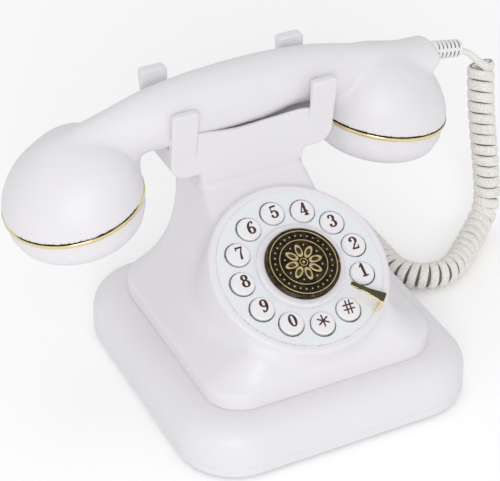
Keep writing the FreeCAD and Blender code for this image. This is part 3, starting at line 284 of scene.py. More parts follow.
# Materials
def colour(red, green, blue):
    """Screen colour as the shader's own linear values."""
    def linear(value):
        value = value / 255
        return value / 12.92 if value <= 0.04045 else ((value + 0.055) / 1.055) ** 2.4
    return (linear(red), linear(green), linear(blue), 1)


def new_material(name):
    material = bpy.data.materials.new(name)
    material.use_nodes = True
    tree = material.node_tree
    return material, tree, tree.nodes["Principled BSDF"]


def node(tree, kind, **values):
    """A new shader node, with values for its inputs or, where it has no input of that name, its settings."""
    made = tree.nodes.new(kind)
    for name, value in values.items():
        if name in made.inputs:
            made.inputs[name].default_value = value
        else:
            setattr(made, name, value)
    return made


def moulded(name, tone, rough, variation=0.02, grain=0.05, grain_scale=900, coat=0.0, metal=0.0):
    """Moulded plastic or metal: slight change of tone, of roughness, and a fine surface grain."""
    material, tree, shader = new_material(name)
    place = node(tree, "ShaderNodeTexCoord")
    broad = node(tree, "ShaderNodeTexNoise", Scale=14.0, Detail=3.0)
    fine = node(tree, "ShaderNodeTexNoise", Scale=float(grain_scale), Detail=2.0)
    tree.links.new(place.outputs["Object"], broad.inputs["Vector"])
    tree.links.new(place.outputs["Object"], fine.inputs["Vector"])
    ramp = node(tree, "ShaderNodeValToRGB")
    dark = [value * (1 - variation) for value in tone[:3]] + [1]
    light = [min(1, value * (1 + variation)) for value in tone[:3]] + [1]
    ramp.color_ramp.elements[0].color = dark
    ramp.color_ramp.elements[1].color = light
    ramp.color_ramp.elements[0].position = 0.3
    ramp.color_ramp.elements[1].position = 0.7
    tree.links.new(broad.outputs["Fac"], ramp.inputs["Fac"])
    tree.links.new(ramp.outputs["Color"], shader.inputs["Base Color"])
    spread = node(tree, "ShaderNodeMapRange")
    spread.inputs["To Min"].default_value = max(0.02, rough - 0.05)
    spread.inputs["To Max"].default_value = rough + 0.05
    tree.links.new(fine.outputs["Fac"], spread.inputs["Value"])
    tree.links.new(spread.outputs["Result"], shader.inputs["Roughness"])
    bump = node(tree, "ShaderNodeBump", Strength=grain, Distance=0.0001)
    tree.links.new(fine.outputs["Fac"], bump.inputs["Height"])
    tree.links.new(bump.outputs["Normal"], shader.inputs["Normal"])
    shader.inputs["Metallic"].default_value = metal
    shader.inputs["Coat Weight"].default_value = coat
    shader.inputs["Coat Roughness"].default_value = 0.08
    return material


def woven(name, thread, gap):
    """Woven sleeve: two sets of slanting threads by the coordinates along and around, and painted shade on the
    band's edges, where one turn meets the next.
    """
    material, tree, shader = new_material(name)
    place = node(tree, "ShaderNodeUVMap", uv_map="along")
    split = node(tree, "ShaderNodeSeparateXYZ")
    tree.links.new(place.outputs["UV"], split.inputs["Vector"])
    waves = []
    threads = 10
    repeat = 0.0013
    for slant in (threads, -threads):
        around = node(tree, "ShaderNodeMath", operation="MULTIPLY")
        around.inputs[1].default_value = slant * 2 * math.pi
        tree.links.new(split.outputs["Y"], around.inputs[0])
        angle = node(tree, "ShaderNodeMath", operation="MULTIPLY_ADD")
        angle.inputs[1].default_value = 2 * math.pi / repeat
        tree.links.new(split.outputs["X"], angle.inputs[0])
        tree.links.new(around.outputs[0], angle.inputs[2])
        wave = node(tree, "ShaderNodeMath", operation="SINE")
        tree.links.new(angle.outputs[0], wave.inputs[0])
        waves.append(wave)
    both = node(tree, "ShaderNodeMath", operation="MULTIPLY")
    tree.links.new(waves[0].outputs[0], both.inputs[0])
    tree.links.new(waves[1].outputs[0], both.inputs[1])
    object_place = node(tree, "ShaderNodeTexCoord")
    fluff = node(tree, "ShaderNodeTexNoise", Scale=1400.0, Detail=3.0)
    tree.links.new(object_place.outputs["Object"], fluff.inputs["Vector"])
    level = node(tree, "ShaderNodeMath", operation="MULTIPLY_ADD")
    level.inputs[1].default_value = 0.25
    tree.links.new(both.outputs[0], level.inputs[0])
    tree.links.new(fluff.outputs["Fac"], level.inputs[2])
    ramp = node(tree, "ShaderNodeValToRGB")
    ramp.color_ramp.elements[0].color = gap
    ramp.color_ramp.elements[0].position = 0.25
    ramp.color_ramp.elements[1].color = thread
    ramp.color_ramp.elements[1].position = 0.5
    tree.links.new(level.outputs[0], ramp.inputs["Fac"])
    # Painted shade: the band's edges, which face the neighbouring turns, are mixed towards dark brown.
    turn = node(tree, "ShaderNodeMath", operation="MULTIPLY")
    turn.inputs[1].default_value = 2 * math.pi
    tree.links.new(split.outputs["Y"], turn.inputs[0])
    sideways = node(tree, "ShaderNodeMath", operation="SINE")
    tree.links.new(turn.outputs[0], sideways.inputs[0])
    size = node(tree, "ShaderNodeMath", operation="ABSOLUTE")
    tree.links.new(sideways.outputs[0], size.inputs[0])
    gap_shade = node(tree, "ShaderNodeMapRange", interpolation_type="SMOOTHSTEP")
    gap_shade.inputs["From Min"].default_value = 0.955
    gap_shade.inputs["From Max"].default_value = 1.0
    gap_shade.inputs["To Max"].default_value = 0.8
    tree.links.new(size.outputs[0], gap_shade.inputs["Value"])
    shaded = node(tree, "ShaderNodeMix", data_type="RGBA")
    shaded.inputs["B"].default_value = colour(70, 64, 58)
    tree.links.new(gap_shade.outputs["Result"], shaded.inputs["Factor"])
    tree.links.new(ramp.outputs["Color"], shaded.inputs["A"])
    tree.links.new(shaded.outputs["Result"], shader.inputs["Base Color"])
    bump = node(tree, "ShaderNodeBump", Strength=0.6, Distance=0.0003)
    tree.links.new(level.outputs[0], bump.inputs["Height"])
    tree.links.new(bump.outputs["Normal"], shader.inputs["Normal"])
    shader.inputs["Roughness"].default_value = 0.75
    shader.inputs["Metallic"].default_value = 0.0
    return material


def paint(piece, material):
    piece.data.materials.clear()
    piece.data.materials.append(material)


SHELL = moulded("shell_plastic", colour(234, 232, 236), 0.42, 0.01, 0.06)
PLATE = moulded("plate_plastic", colour(230, 233, 238), 0.16, 0.008, 0.02, coat=0.4)
WHITE = moulded("disc_plastic", colour(234, 231, 235), 0.2, 0.01, 0.02, coat=0.3)
KEYS = moulded("key_plastic", colour(240, 238, 241), 0.22, 0.01, 0.02, coat=0.3)
BRONZE = moulded("antique_bronze", colour(70, 55, 34), 0.38, 0.25, 0.3, 500, metal=0.9)
BRASS = moulded("antique_brass", colour(84, 82, 62), 0.3, 0.12, 0.1, 600, metal=0.6)
GOLD = moulded("polished_gold", colour(248, 230, 172), 0.18, 0.04, 0.03, 700, metal=1.0)
BRAID = woven("woven_cord", colour(248, 245, 240), colour(206, 200, 190))
LEAD = moulded("lead_sleeve", colour(236, 234, 230), 0.5, 0.03, 0.3)
CLEAR = moulded("plug_plastic", colour(205, 208, 212), 0.25, 0.02, 0.05)
RUBBER = moulded("foot_rubber", colour(40, 40, 42), 0.8, 0.1, 0.4)
GREY = moulded("membrane_rubber", colour(150, 150, 152), 0.7, 0.05, 0.3)
SOCKET = moulded("socket_plastic", colour(34, 34, 36), 0.5, 0.05, 0.1)
BOARD = moulded("board_mask", colour(30, 90, 52), 0.3, 0.1, 0.1)
STEEL = moulded("zinc_steel", colour(170, 170, 175), 0.35, 0.08, 0.2, metal=1.0)
IRON = moulded("cast_weight", colour(80, 80, 84), 0.65, 0.15, 0.5, metal=0.8)
FINISH = {"shell": SHELL, "plate": PLATE, "disc": WHITE, "key": KEYS, "bronze": BRONZE, "brass": BRASS,
          "gold": GOLD, "braid": BRAID, "lead": LEAD, "clear": CLEAR, "rubber": RUBBER, "membrane": GREY,
          "socket": SOCKET, "board": BOARD, "steel": STEEL, "iron": IRON}
for entry in frame["record"]["subparts"]:
    paint(frame["nodes"][entry["node"]], FINISH[entry["material_slot"]])
paint(upper_lead, LEAD)
paint(rear_lead, LEAD)
paint(curls, BRAID)


# Smooth moulded skins: a form is a field that is negative inside, in millimetres
def smooth_min(a, b, k):
    share = np.clip(0.5 + 0.5 * (b - a) / k, 0, 1)
    return b * (1 - share) + a * share - k * share * (1 - share)


def smooth_max(a, b, k):
    return -smooth_min(-a, -b, k)


def smooth_step(low, high, value):
    share = np.clip((value - low) / (high - low), 0, 1)
    return share * share * (3 - 2 * share)


def field_slope(field, points, reach=0.02):
    slopes = []
    for axis in range(3):
        step = np.zeros(3)
        step[axis] = reach
        ahead = field(*(points + step).T)
        behind = field(*(points - step).T)
        slopes.append((ahead - behind) / (2 * reach))
    return np.stack(slopes, axis=1)


def skin_points(field, low, high, cell):
    """Points and four-sided faces where the field is nil, on an even grid, then moved onto it exactly."""
    lines = [np.arange(a, b + cell, cell) for a, b in zip(low, high)]
    grid = np.meshgrid(*lines, indexing="ij", sparse=True)
    values = field(*grid)
    inside = values < 0
    shape = np.array(values.shape) - 1
    count = np.zeros(shape, int)
    spots = np.zeros(tuple(shape) + (3,))
    hits = np.zeros(shape)
    corner = np.stack(np.meshgrid(*[np.arange(n) for n in shape], indexing="ij"), axis=-1).astype(float)
    for offset in np.ndindex(2, 2, 2):
        part = tuple(slice(o, o + n) for o, n in zip(offset, shape))
        count += inside[part]
    for axis in range(3):
        others = [a for a in range(3) if a != axis]
        for pair in np.ndindex(2, 2):
            start = np.zeros(3, int)
            start[others[0]], start[others[1]] = pair
            end = start.copy()
            end[axis] = 1
            a = values[tuple(slice(o, o + n) for o, n in zip(start, shape))]
            b = values[tuple(slice(o, o + n) for o, n in zip(end, shape))]
            cross = (a < 0) != (b < 0)
            share = np.where(cross, a / np.where(cross, a - b, 1), 0)
            spot = corner + start
            spot[..., axis] += share
            spots += spot * cross[..., None]
            hits += cross
    active = (count > 0) & (count < 8)
    number = np.full(shape, -1)
    number[active] = np.arange(active.sum())
    points = spots[active] / hits[active][:, None] * cell + np.array(low)
    faces = []
    for axis in range(3):
        u, v = [a for a in range(3) if a != axis]
        if axis == 1:
            u, v = v, u
        here = [slice(0, n + 1) for n in shape]
        here[axis] = slice(0, shape[axis])
        ahead = list(here)
        ahead[axis] = slice(1, shape[axis] + 1)
        change = inside[tuple(here)] != inside[tuple(ahead)]
        inner = np.zeros_like(change)
        middle = [slice(None)] * 3
        middle[u] = slice(1, shape[u])
        middle[v] = slice(1, shape[v])
        inner[tuple(middle)] = True
        where = np.argwhere(change & inner)
        solid = inside[tuple(where.T)]
        quad = []
        for du, dv in ((-1, -1), (0, -1), (0, 0), (-1, 0)):
            spot = where.copy()
            spot[:, u] += du
            spot[:, v] += dv
            quad.append(number[tuple(spot.T)])
        quad = np.stack(quad, axis=1)
        faces.append(np.where(solid[:, None], quad, quad[:, ::-1]))
    for _ in range(4):
        slope = field_slope(field, points)
        amount = field(*points.T) / np.maximum((slope ** 2).sum(axis=1), 0.05)
        amount = np.clip(amount, -cell / 2, cell / 2)
        points = points - slope * amount[:, None]
    return points, np.concatenate(faces)


def skin_piece(name, field, low, high, cell, place):
    """A smooth skin as a piece, its field's own axes put in place by a matrix in millimetres."""
    points, faces = skin_points(field, low, high, cell)
    slopes = unit(field_slope(field, points))
    turn = np.array(place.to_3x3())
    moved = points @ turn.T + np.array(place.translation)
    piece = mesh_piece(name, moved * MM, faces)
    piece.data.normals_split_custom_set_from_vertices([tuple(way) for way in slopes @ turn.T])
    return piece


# Sizes of the moulded forms, and the places of their own axes, as in the CAD source
BODY_SHIFT = 3.6
PLINTH_TOP = 24.4
LIP_HALF = 53.8
NECK_HALF = 24.8
NECK_MIDDLE = 36.7
NECK_TOP = 88.7
GROOVES = (86.4, 83.6)
GROOVE_WIDE = 0.65
GROOVE_DEEP = 0.6
FLARE = 29
FLARE_FOOT = 32.2
FLARE_RATE = 0.074
DIAL_BACK = 24.2
DIAL_HIGH = 66.1
LEAN = math.radians(29.4)
DRUM_RADIUS = 40.5
SEAT_RADIUS = 36.8
SEAT_FLOOR = 4.4
CUP_SIDE = 77.5
CUP_RADIUS = 31
CUP_TILT = math.radians(10.3)
HOME = Matrix.Translation((BODY_SHIFT, 0, 0))
DIAL = Matrix.Translation((BODY_SHIFT, -DIAL_BACK, DIAL_HIGH)) @ Matrix.Rotation(LEAN, 4, "X")
HANDSET = Matrix.Translation((0, 36.4, 90.5)) @ Matrix.Rotation(math.radians(2.9), 4, "Z")


def round_box(qx, qy, corner):
    """Field of a box with round corners, from how far a point is past the middles of the corners."""
    return np.hypot(np.maximum(qx, 0), np.maximum(qy, 0)) + np.minimum(np.maximum(qx, qy), 0) - corner


def housing_field(x, y, z):
    """Flare, slanted face, dial drum with its seat, and neck with two grooves."""
    # Flare: its half width falls off with height from the lip to the neck, and its corners sharpen upward
    rise = z - FLARE_FOOT
    curved = NECK_HALF + FLARE * np.exp(-FLARE_RATE * rise)
    half = -np.logaddexp(-LIP_HALF, -curved)
    share = (half - NECK_HALF) / FLARE
    back = 51.5 + 4.9 * share
    front = -52 - 4.4 * np.exp(-0.2 * np.maximum(rise, 0))
    corner = 4.0 + 13 * np.exp(-0.05 * np.maximum(rise, 0))
    form = round_box(np.abs(x) - half + corner,
                     np.abs(y - (front + back) / 2) - (back - front) / 2 + corner, corner)
    steep = FLARE_RATE * np.maximum(half - NECK_HALF, 0) / (1 + np.exp(curved - LIP_HALF))
    form = form / np.hypot(1, steep)
    # Slanted face, six millimetres below the dial
    lift = -(y + DIAL_BACK) * math.sin(LEAN) + (z - DIAL_HIGH) * math.cos(LEAN)
    across = (y + DIAL_BACK) * math.cos(LEAN) + (z - DIAL_HIGH) * math.sin(LEAN)
    radial = np.hypot(x, across)
    form = smooth_max(form, lift + 6, 3.0)
    # Neck and drum
    neck = round_box(np.abs(x) - 20.8, np.abs(y - NECK_MIDDLE) - 10.8, 4)
    form = smooth_min(form, smooth_max(neck, 60 - z, 1.0), 2.0)
    drum = smooth_max(radial - DRUM_RADIUS, lift + 1, 1.8)
    form = smooth_min(form, drum, 5.0)
    # Grooves round the front and sides of the neck, and the plate's seat
    groove = sum(np.exp(-((z - middle) / GROOVE_WIDE) ** 2) for middle in GROOVES)
    form = form + GROOVE_DEEP * groove * smooth_step(20.8, 21.6, y)
    seat = smooth_max(radial - SEAT_RADIUS, -SEAT_FLOOR - lift, 0.3)
    form = smooth_max(form, -seat, 0.5)
    return np.maximum(np.maximum(form, PLINTH_TOP - z), z - NECK_TOP)


# Cradle: its upper edge from left to right, then its horns' tops, inner faces, and outer faces at two heights
EDGE_PLACES = [-27, -21, -16, -12, -6.6, 1.4, 7.9, 14.4, 18.7, 22.6, 25.6, 28.8]
EDGE_HEIGHTS = [114.3, 113.6, 112.7, 112.1, 111.5, 111.8, 112.4, 112.7, 113.1, 113.2, 112.9, 112.4]
TROUGH_FLOOR = 107.6
CRADLE_FOOT = 88.2
HORN_INNER = 27.2
FRONT_TOP, FRONT_INNER, FRONT_OUTER = 127.4, 21.8, ([100, 127], [22.2, 18.1])
REAR_TOP, REAR_INNER, REAR_OUTER = 132.6, 51.2, ([100, 132], [51.2, 56.4])


def cradle_field(x, y, z):
    """Bracket on the neck with round lower corners, a trough, and a flat horn at each corner."""
    side = np.abs(x)
    bracket = round_box(side - 31.4, 101 - z, 8)
    outline = smooth_min(side - NECK_HALF, bracket, 3.0)
    block = smooth_max(outline, np.abs(y - NECK_MIDDLE) - 14.8, 1.6)
    block = smooth_max(block, z - np.interp(x, EDGE_PLACES, EDGE_HEIGHTS), 0.5)
    trough = np.maximum(np.abs(y - NECK_MIDDLE) - 12.4 - smooth_step(110.5, 113.5, z), TROUGH_FLOOR - z)
    block = smooth_max(block, -trough, 0.4)
    post = smooth_max(bracket, HORN_INNER - side, 1.2)
    # The inner faces go into the wall lower down, so that no gap opens between horn and wall
    sunk = smooth_step(113, 108, z)
    front = np.maximum(np.interp(z, *FRONT_OUTER) - y, y - FRONT_INNER - sunk)
    rear = np.maximum(REAR_INNER - sunk - y, y - np.interp(z, *REAR_OUTER))
    front = smooth_max(smooth_max(post, z - FRONT_TOP, 1.8), front, 0.8)
    rear = smooth_max(smooth_max(post, z - REAR_TOP, 1.8), rear, 0.8)
    form = smooth_min(block, smooth_min(front, rear, 0.5), 0.5)
    return np.maximum(form, CRADLE_FOOT - z)


# Grip at places along the handset: half its width, half its height, and the height of its middle
GRIP = np.array([(-110, 1, 1, 24), (-90, 1.5, 1.5, 24.2), (-82, 6.5, 6, 25),
                 (-75, 9, 9, 24.9), (-68, 9.5, 9.5, 26.1), (-60, 10, 13, 25), (-52, 11, 13.4, 26.5),
                 (-46, 11.7, 13.4, 28), (-40, 12.2, 12.9, 29.6), (-28, 12.5, 13, 31),
                 (-16, 12.8, 13, 31.9), (0, 12.9, 13, 32.3), (16, 12.8, 13, 31.9), (28, 12.5, 13, 31),
                 (40, 12.2, 12.9, 29.6), (46, 11.7, 13.4, 28), (52, 11, 13.4, 26.5), (60, 10, 13, 25),
                 (68, 9.5, 9.5, 26.1), (75, 9, 9, 24.9),
                 (82, 9.6, 8.6, 23.4), (89, 11, 8.4, 22.4), (95.5, 12, 8.6, 21.4), (108, 12, 8.6, 20.6)])
GRIP_STEP = 0.5
GRIP_LINE = np.arange(-112, 112.5, GRIP_STEP)
SOFTEN = np.exp(-(np.arange(-30, 31) * GRIP_STEP / 4.5) ** 2)
SOFTEN = SOFTEN / SOFTEN.sum()
GRIP_HARD = [np.interp(GRIP_LINE, GRIP[:, 0], GRIP[:, column]) for column in (1, 2, 3)]
GRIP_SOFT = [np.convolve(np.pad(values, 30, "edge"), SOFTEN, "valid") for values in GRIP_HARD]
GRIP_LEFT, GRIP_RIGHT = -86, 104
CUP_RIM = 0.9
TINY = 1e-12


def handset_field(u, v, w):
    """Arched grip, squarer below in the cradle, melted into two domes, with a boss for the cord."""
    wide, tall, middle = [np.interp(u, GRIP_LINE, column) for column in GRIP_SOFT]
    full = smooth_step(-46, -30, u) * smooth_step(30, 6, u)
    below = w < middle
    tall = tall + np.where(below, full, 0)
    power = 2 + np.where(below, 1.6 * full, 0)
    ratio = (np.abs(v / wide) ** power + np.abs((w - middle) / tall) ** power + TINY) ** (1 / power)
    grip = (ratio - 1) * np.minimum(wide, tall)
    right_end = u - GRIP_RIGHT + 0.8 * np.maximum(24 - w, 0)
    grip = smooth_max(smooth_max(grip, right_end, 3.5), GRIP_LEFT - u, 3.0)
    out = np.abs(u)
    beside = out - CUP_SIDE
    rim = beside * math.sin(CUP_TILT) + w * math.cos(CUP_TILT)
    across = np.hypot(beside * math.cos(CUP_TILT) - w * math.sin(CUP_TILT), v)
    above = np.maximum(rim - 1, 0)
    bell = 2.3 - 0.67 * smooth_step(-14, 12, beside)
    share = ((across / CUP_RADIUS) ** bell + (above / CUP_RADIUS) ** bell + TINY) ** (1 / bell)
    dome = share * CUP_RADIUS - CUP_RADIUS
    melt = 2.0 + 6 * smooth_step(24, 10, w) * smooth_step(75, 55, out)
    form = smooth_min(grip, dome, melt)
    return smooth_max(form, np.where(out > 30, CUP_RIM - rim, -20.0), 0.3)


def settle(piece, body, old, slot, *materials):
    """Hangs a piece on its body in place of a CAD node, or beside them all, and gives it its looks."""
    for material in materials:
        piece.data.materials.append(material)
    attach(piece, body)
    if old:
        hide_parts(old)


def add_skins():
    housing = skin_piece("housing_skin", housing_field, (-56, -62, 23.6), (56, 58.5, 89.4), 0.8, HOME)
    cradle = skin_piece("cradle_skin", cradle_field, (-41, 15, 87.4), (41, 59, 134.5), 0.7, HOME)
    handset = skin_piece("handset_skin", handset_field, (-111, -33, -8), (111, 33, 48), 0.9, HANDSET)
    settle(housing, "base", "body_housing", "shell", SHELL)
    settle(cradle, "base", "cradle", "shell", SHELL)
    settle(handset, "handset", "handset_shell", "shell", SHELL)


add_skins()


# Characters on the buttons: strokes that swell and thin, in shares of a character's height, raised a hair
BOLD = 0.105
FINE = 0.045
MIDDLE = 0.31


def bow(cx, cy, rx, ry, start, end, thick=BOLD, thin=0.052, count=40):
    """Part of an oval stroke, thick at its sides and thin at top and bottom."""
    strokes = []
    for step in range(count + 1):
        angle = math.radians(start + (end - start) * step / count)
        wide = thin + (thick - thin) * math.cos(angle) ** 2
        strokes.append((cx + rx * math.cos(angle), cy + ry * math.sin(angle), wide))
    return strokes


def bar(x0, y0, x1, y1, wide=0.055, last=None):
    return [(x0, y0, wide), (x1, y1, wide if last is None else last)]


def ball(x, y, wide=0.095):
    return [(x, y, wide), (x + 0.001, y, wide)]


SIX = [bow(0.31, 0.3, 0.2, 0.25, 0, 360), bow(0.43, 0.4, 0.32, 0.54, 78, 175), ball(0.49, 0.84, 0.075)]
CHARACTERS = {
    "1": [bar(0.34, 0.06, 0.34, 0.95, BOLD), bar(0.15, 0.045, 0.53, 0.045),
          bar(0.32, 0.94, 0.15, 0.79, 0.05)],
    "2": [bow(0.31, 0.7, 0.21, 0.25, 165, -30), bar(0.49, 0.58, 0.11, 0.1, 0.07, FINE),
          bar(0.11, 0.075, 0.53, 0.075, 0.07), bar(0.54, 0.09, 0.57, 0.26, FINE), ball(0.15, 0.71)],
    "3": [bow(0.29, 0.73, 0.18, 0.21, 140, -80), bow(0.28, 0.28, 0.23, 0.25, 80, -150),
          ball(0.14, 0.78, 0.078), ball(0.11, 0.2)],
    "4": [bar(0.42, 0.95, 0.07, 0.3, FINE), bar(0.07, 0.29, 0.6, 0.29, 0.048),
          bar(0.43, 0.93, 0.43, 0.05, BOLD), bar(0.27, 0.045, 0.59, 0.045, 0.042)],
    "5": [bar(0.17, 0.9, 0.52, 0.92, 0.07), bar(0.16, 0.93, 0.13, 0.5, FINE),
          bow(0.29, 0.31, 0.22, 0.26, 135, -150), ball(0.1, 0.21)],
    "6": SIX,
    "7": [bar(0.1, 0.9, 0.54, 0.9, 0.07), bar(0.1, 0.93, 0.08, 0.72, FINE),
          bar(0.54, 0.9, 0.36, 0.5, FINE, 0.06), bar(0.36, 0.5, 0.28, 0.07, 0.06, 0.095)],
    "8": [bow(0.31, 0.74, 0.17, 0.19, 0, 360), bow(0.31, 0.28, 0.21, 0.235, 0, 360)],
    "9": [[(0.62 - x, 1 - y, wide) for x, y, wide in stroke] for stroke in SIX],
    "0": [bow(0.31, 0.5, 0.21, 0.43, 0, 360)],
    "star": [bar(MIDDLE - 0.42 * math.cos(turn), 0.5 - 0.42 * math.sin(turn), MIDDLE + 0.42 * math.cos(turn),
                 0.5 + 0.42 * math.sin(turn), 0.058) for turn in (math.pi / 2, math.pi / 6, -math.pi / 6)],
    "hash": [bar(0.12, 0.02, 0.22, 0.98), bar(0.4, 0.02, 0.5, 0.98), bar(-0.09, 0.33, 0.69, 0.33),
             bar(-0.07, 0.67, 0.71, 0.67)],
}
# Millimetres: height of a character, half the thickness of its layer, and its place on its button
CHARACTER_TALL = 6.15
LAYER_HALF = 0.06
CHARACTER_SHIFT = {"1": (0.5, 0.9), "2": (0, 0.5), "3": (0, 0.5), "4": (0.2, 0.5), "5": (0.5, 0.3),
                   "6": (0.8, 0.2), "7": (0.8, 0.3), "8": (1.1, 0.7), "9": (1.0, 0.8), "0": (0.6, 0.8),
                   "star": (0.2, 0.8), "hash": (0.2, 0.7)}
# Buttons in their order round the dial, the first one's angle, the step between two, and their ring's radius
DIAL_ORDER = ["1", "2", "3", "4", "5", "6", "7", "8", "9", "0", "star", "hash"]
KEY_FIRST = -22.9
KEY_STEP = 29
KEY_RING = 27.55


def stroke_field(strokes, tall):
    """Distance to strokes of changing width in the plane, cut to a thin layer."""
    pieces = []
    for stroke in strokes:
        for (ax, ay, aw), (bx, by, bw) in zip(stroke, stroke[1:]):
            pieces.append([(ax - MIDDLE) * tall, (ay - 0.5) * tall, aw * tall,
                           (bx - MIDDLE) * tall, (by - 0.5) * tall, bw * tall])

    def field(x, y, z):
        flat = None
        for ax, ay, aw, bx, by, bw in pieces:
            long = max((bx - ax) ** 2 + (by - ay) ** 2, 1e-9)
            share = np.clip(((x - ax) * (bx - ax) + (y - ay) * (by - ay)) / long, 0, 1)
            gap = np.hypot(x - ax - share * (bx - ax), y - ay - share * (by - ay)) - aw - share * (bw - aw)
            flat = gap if flat is None else np.minimum(flat, gap)
        return smooth_max(flat, np.abs(z) - LAYER_HALF, 0.05)
    return field


def key_place(index, ring):
    """Centre of a button in the dial's plane, on a ring of the given radius."""
    angle = math.radians(KEY_FIRST + KEY_STEP * index)
    return ring * math.cos(angle), ring * math.sin(angle)


def add_characters():
    ink = moulded("character_ink", colour(70, 30, 22), 0.4, 0.08, 0.05)
    for index, name in enumerate(DIAL_ORDER):
        field = stroke_field(CHARACTERS[name], CHARACTER_TALL)
        reach = CHARACTER_TALL * 0.62
        place = (DIAL @ Matrix.Translation((*key_place(index, KEY_RING), 0))
                 @ Matrix.Translation((*CHARACTER_SHIFT[name], 0)))
        piece = skin_piece(f"character_{name}", field, (-reach, -reach, -0.24), (reach, reach, 0.24), 0.08,
                           place)
        settle(piece, f"key_{name}", None, "key", ink)


# Lathed pieces: profile of radius and height, turned about an axis
def lathe(name, profile, place, around=96, closed=False):
    """A turned piece; a closed profile makes a ring, an open one gets flat ends."""
    vertices = []
    for radius, height in profile:
        for step in range(around):
            angle = 2 * math.pi * step / around
            vertices.append(place @ Vector((radius * math.cos(angle), radius * math.sin(angle), height)) * MM)
    faces = []
    for ring in range(len(profile) - (0 if closed else 1)):
        low = ring * around
        high = (ring + 1) % len(profile) * around
        for step in range(around):
            beside = (step + 1) % around
            faces.append((low + step, low + beside, high + beside, high + step))
    if not closed:
        faces.append(tuple(range(around))[::-1])
        faces.append(tuple(range(len(vertices) - around, len(vertices))))
    return mesh_piece(name, vertices, faces)


MEDALLION_TOP = 3.6
MEDALLION_RADIUS = 16.35
BEADS = 30
PETALS = 8


def spread_round(angle, count, shift=0.5):
    """Place in the nearest of some equal sectors, from -0.5 to 0.5."""
    return np.mod(angle * count / (2 * np.pi) + shift, 1) - 0.5


def medallion_field(x, y, z):
    """Coin with a stepped edge, two raised rings, a beaded band and a petalled rosette."""
    radial = np.hypot(x, y)
    angle = np.arctan2(y, x)
    top = MEDALLION_TOP
    for ring, wide, tall in ((14.9, 0.32, 0.4), (10.6, 0.28, 0.4)):
        top = top + tall * smooth_step(wide, wide * 0.45, np.abs(radial - ring))
    bead = np.hypot(spread_round(angle, BEADS) * 2 * np.pi * 12.75 / BEADS, radial - 12.75)
    top = top + 0.3 * np.sqrt(np.clip(1 - (bead / 0.52) ** 2, 0, 1))
    leaf = np.hypot(spread_round(angle, PETALS) * 2 * np.pi * radial / PETALS / 1.55, (radial - 5.6) / 2.9)
    top = top + 0.36 * smooth_step(0.3, 0.12, np.abs(leaf - 0.85)) + 0.12 * smooth_step(1, 0.7, leaf)
    top = top + 0.4 * smooth_step(0.34, 0.12, np.abs(radial - 1.7)) + 0.4 * smooth_step(0.8, 0.5, radial)
    tip = np.hypot(spread_round(angle, PETALS, 0) * 2 * np.pi * 8.3 / PETALS, radial - 8.3)
    top = top + 0.3 * np.sqrt(np.clip(1 - (tip / 0.55) ** 2, 0, 1))
    edge = radial - MEDALLION_RADIUS + 0.22 * np.cos(np.clip(z - 0.9, 0, 2.8) * 2 * np.pi / 0.93)
    return smooth_max(smooth_max(edge, z - top, 0.4), 0.8 - z, 0.3)


def bronze_material():
    """Antique bronze: dark in the field, bright where the relief stands proud."""
    material, tree, shader = new_material("medallion_bronze")
    place = node(tree, "ShaderNodeTexCoord")
    shape = node(tree, "ShaderNodeAttribute", attribute_name="proud")
    patches = node(tree, "ShaderNodeTexNoise", Scale=420.0, Detail=4.0)
    tree.links.new(place.outputs["Object"], patches.inputs["Vector"])
    mix = node(tree, "ShaderNodeMath", operation="MULTIPLY_ADD")
    mix.inputs[1].default_value = 0.66
    tree.links.new(patches.outputs["Fac"], mix.inputs[0])
    tree.links.new(shape.outputs["Fac"], mix.inputs[2])
    ramp = node(tree, "ShaderNodeValToRGB")
    ramp.color_ramp.elements[0].color = colour(30, 24, 17)
    ramp.color_ramp.elements[0].position = 0.3
    ramp.color_ramp.elements[1].color = colour(205, 188, 136)
    ramp.color_ramp.elements[1].position = 1.05
    between = ramp.color_ramp.elements.new(0.5)
    between.color = colour(76, 62, 44)
    tree.links.new(mix.outputs[0], ramp.inputs["Fac"])
    tree.links.new(ramp.outputs["Color"], shader.inputs["Base Color"])
    bump = node(tree, "ShaderNodeBump", Strength=0.35, Distance=0.0002)
    tree.links.new(patches.outputs["Fac"], bump.inputs["Height"])
    tree.links.new(bump.outputs["Normal"], shader.inputs["Normal"])
    shader.inputs["Metallic"].default_value = 0.75
    shader.inputs["Roughness"].default_value = 0.36
    return material


def add_medallion():
    piece = skin_piece("medallion", medallion_field, (-17, -17, 0.2), (17, 17, 4.6), 0.2,
                       DIAL @ Matrix.Translation((0.35, 0, 0)))
    inverse = DIAL.inverted()
    proud = piece.data.attributes.new("proud", "FLOAT", "POINT")
    for vertex, spot in zip(piece.data.vertices, proud.data):
        local = inverse @ (vertex.co / MM)
        raised = min(1, max(0, (local.z - MEDALLION_TOP - 0.08) / 0.3))
        spot.value = raised if math.hypot(local.x, local.y) < 15.6 else 0.12
    stem_profile = [(0.1, 1.2), (2.3, 1.2), (2.3, -4.9), (4.2, -4.9), (4.2, -5.9), (0.1, -5.9)]
    stem = lathe("rocker_stem", stem_profile, DIAL, 48)
    settle(piece, "rocker", "redial_rocker", "bronze", bronze_material())
    settle(stem, "rocker", "redial_rocker", "bronze", BRONZE)


PLATE_RADIUS = 37.3
HOLE_RING = 27.8
HOLE_RADIUS = 5.72


def plate_field(x, y, z):
    """Dial plate: its holes are a little wider than the buttons and set outward."""
    form = smooth_max(np.hypot(x, y) - PLATE_RADIUS, np.abs(z + 2.6) - 1.2, 0.3)
    for index in range(len(DIAL_ORDER)):
        hole_x, hole_y = key_place(index, HOLE_RING)
        form = smooth_max(form, HOLE_RADIUS - np.hypot(x - hole_x, y - hole_y), 0.15)
    return smooth_max(form, 17.5 - np.hypot(x, y), 0.2)


STOP_END = 38.4
STOP_ANGLE = math.radians(-43.5)


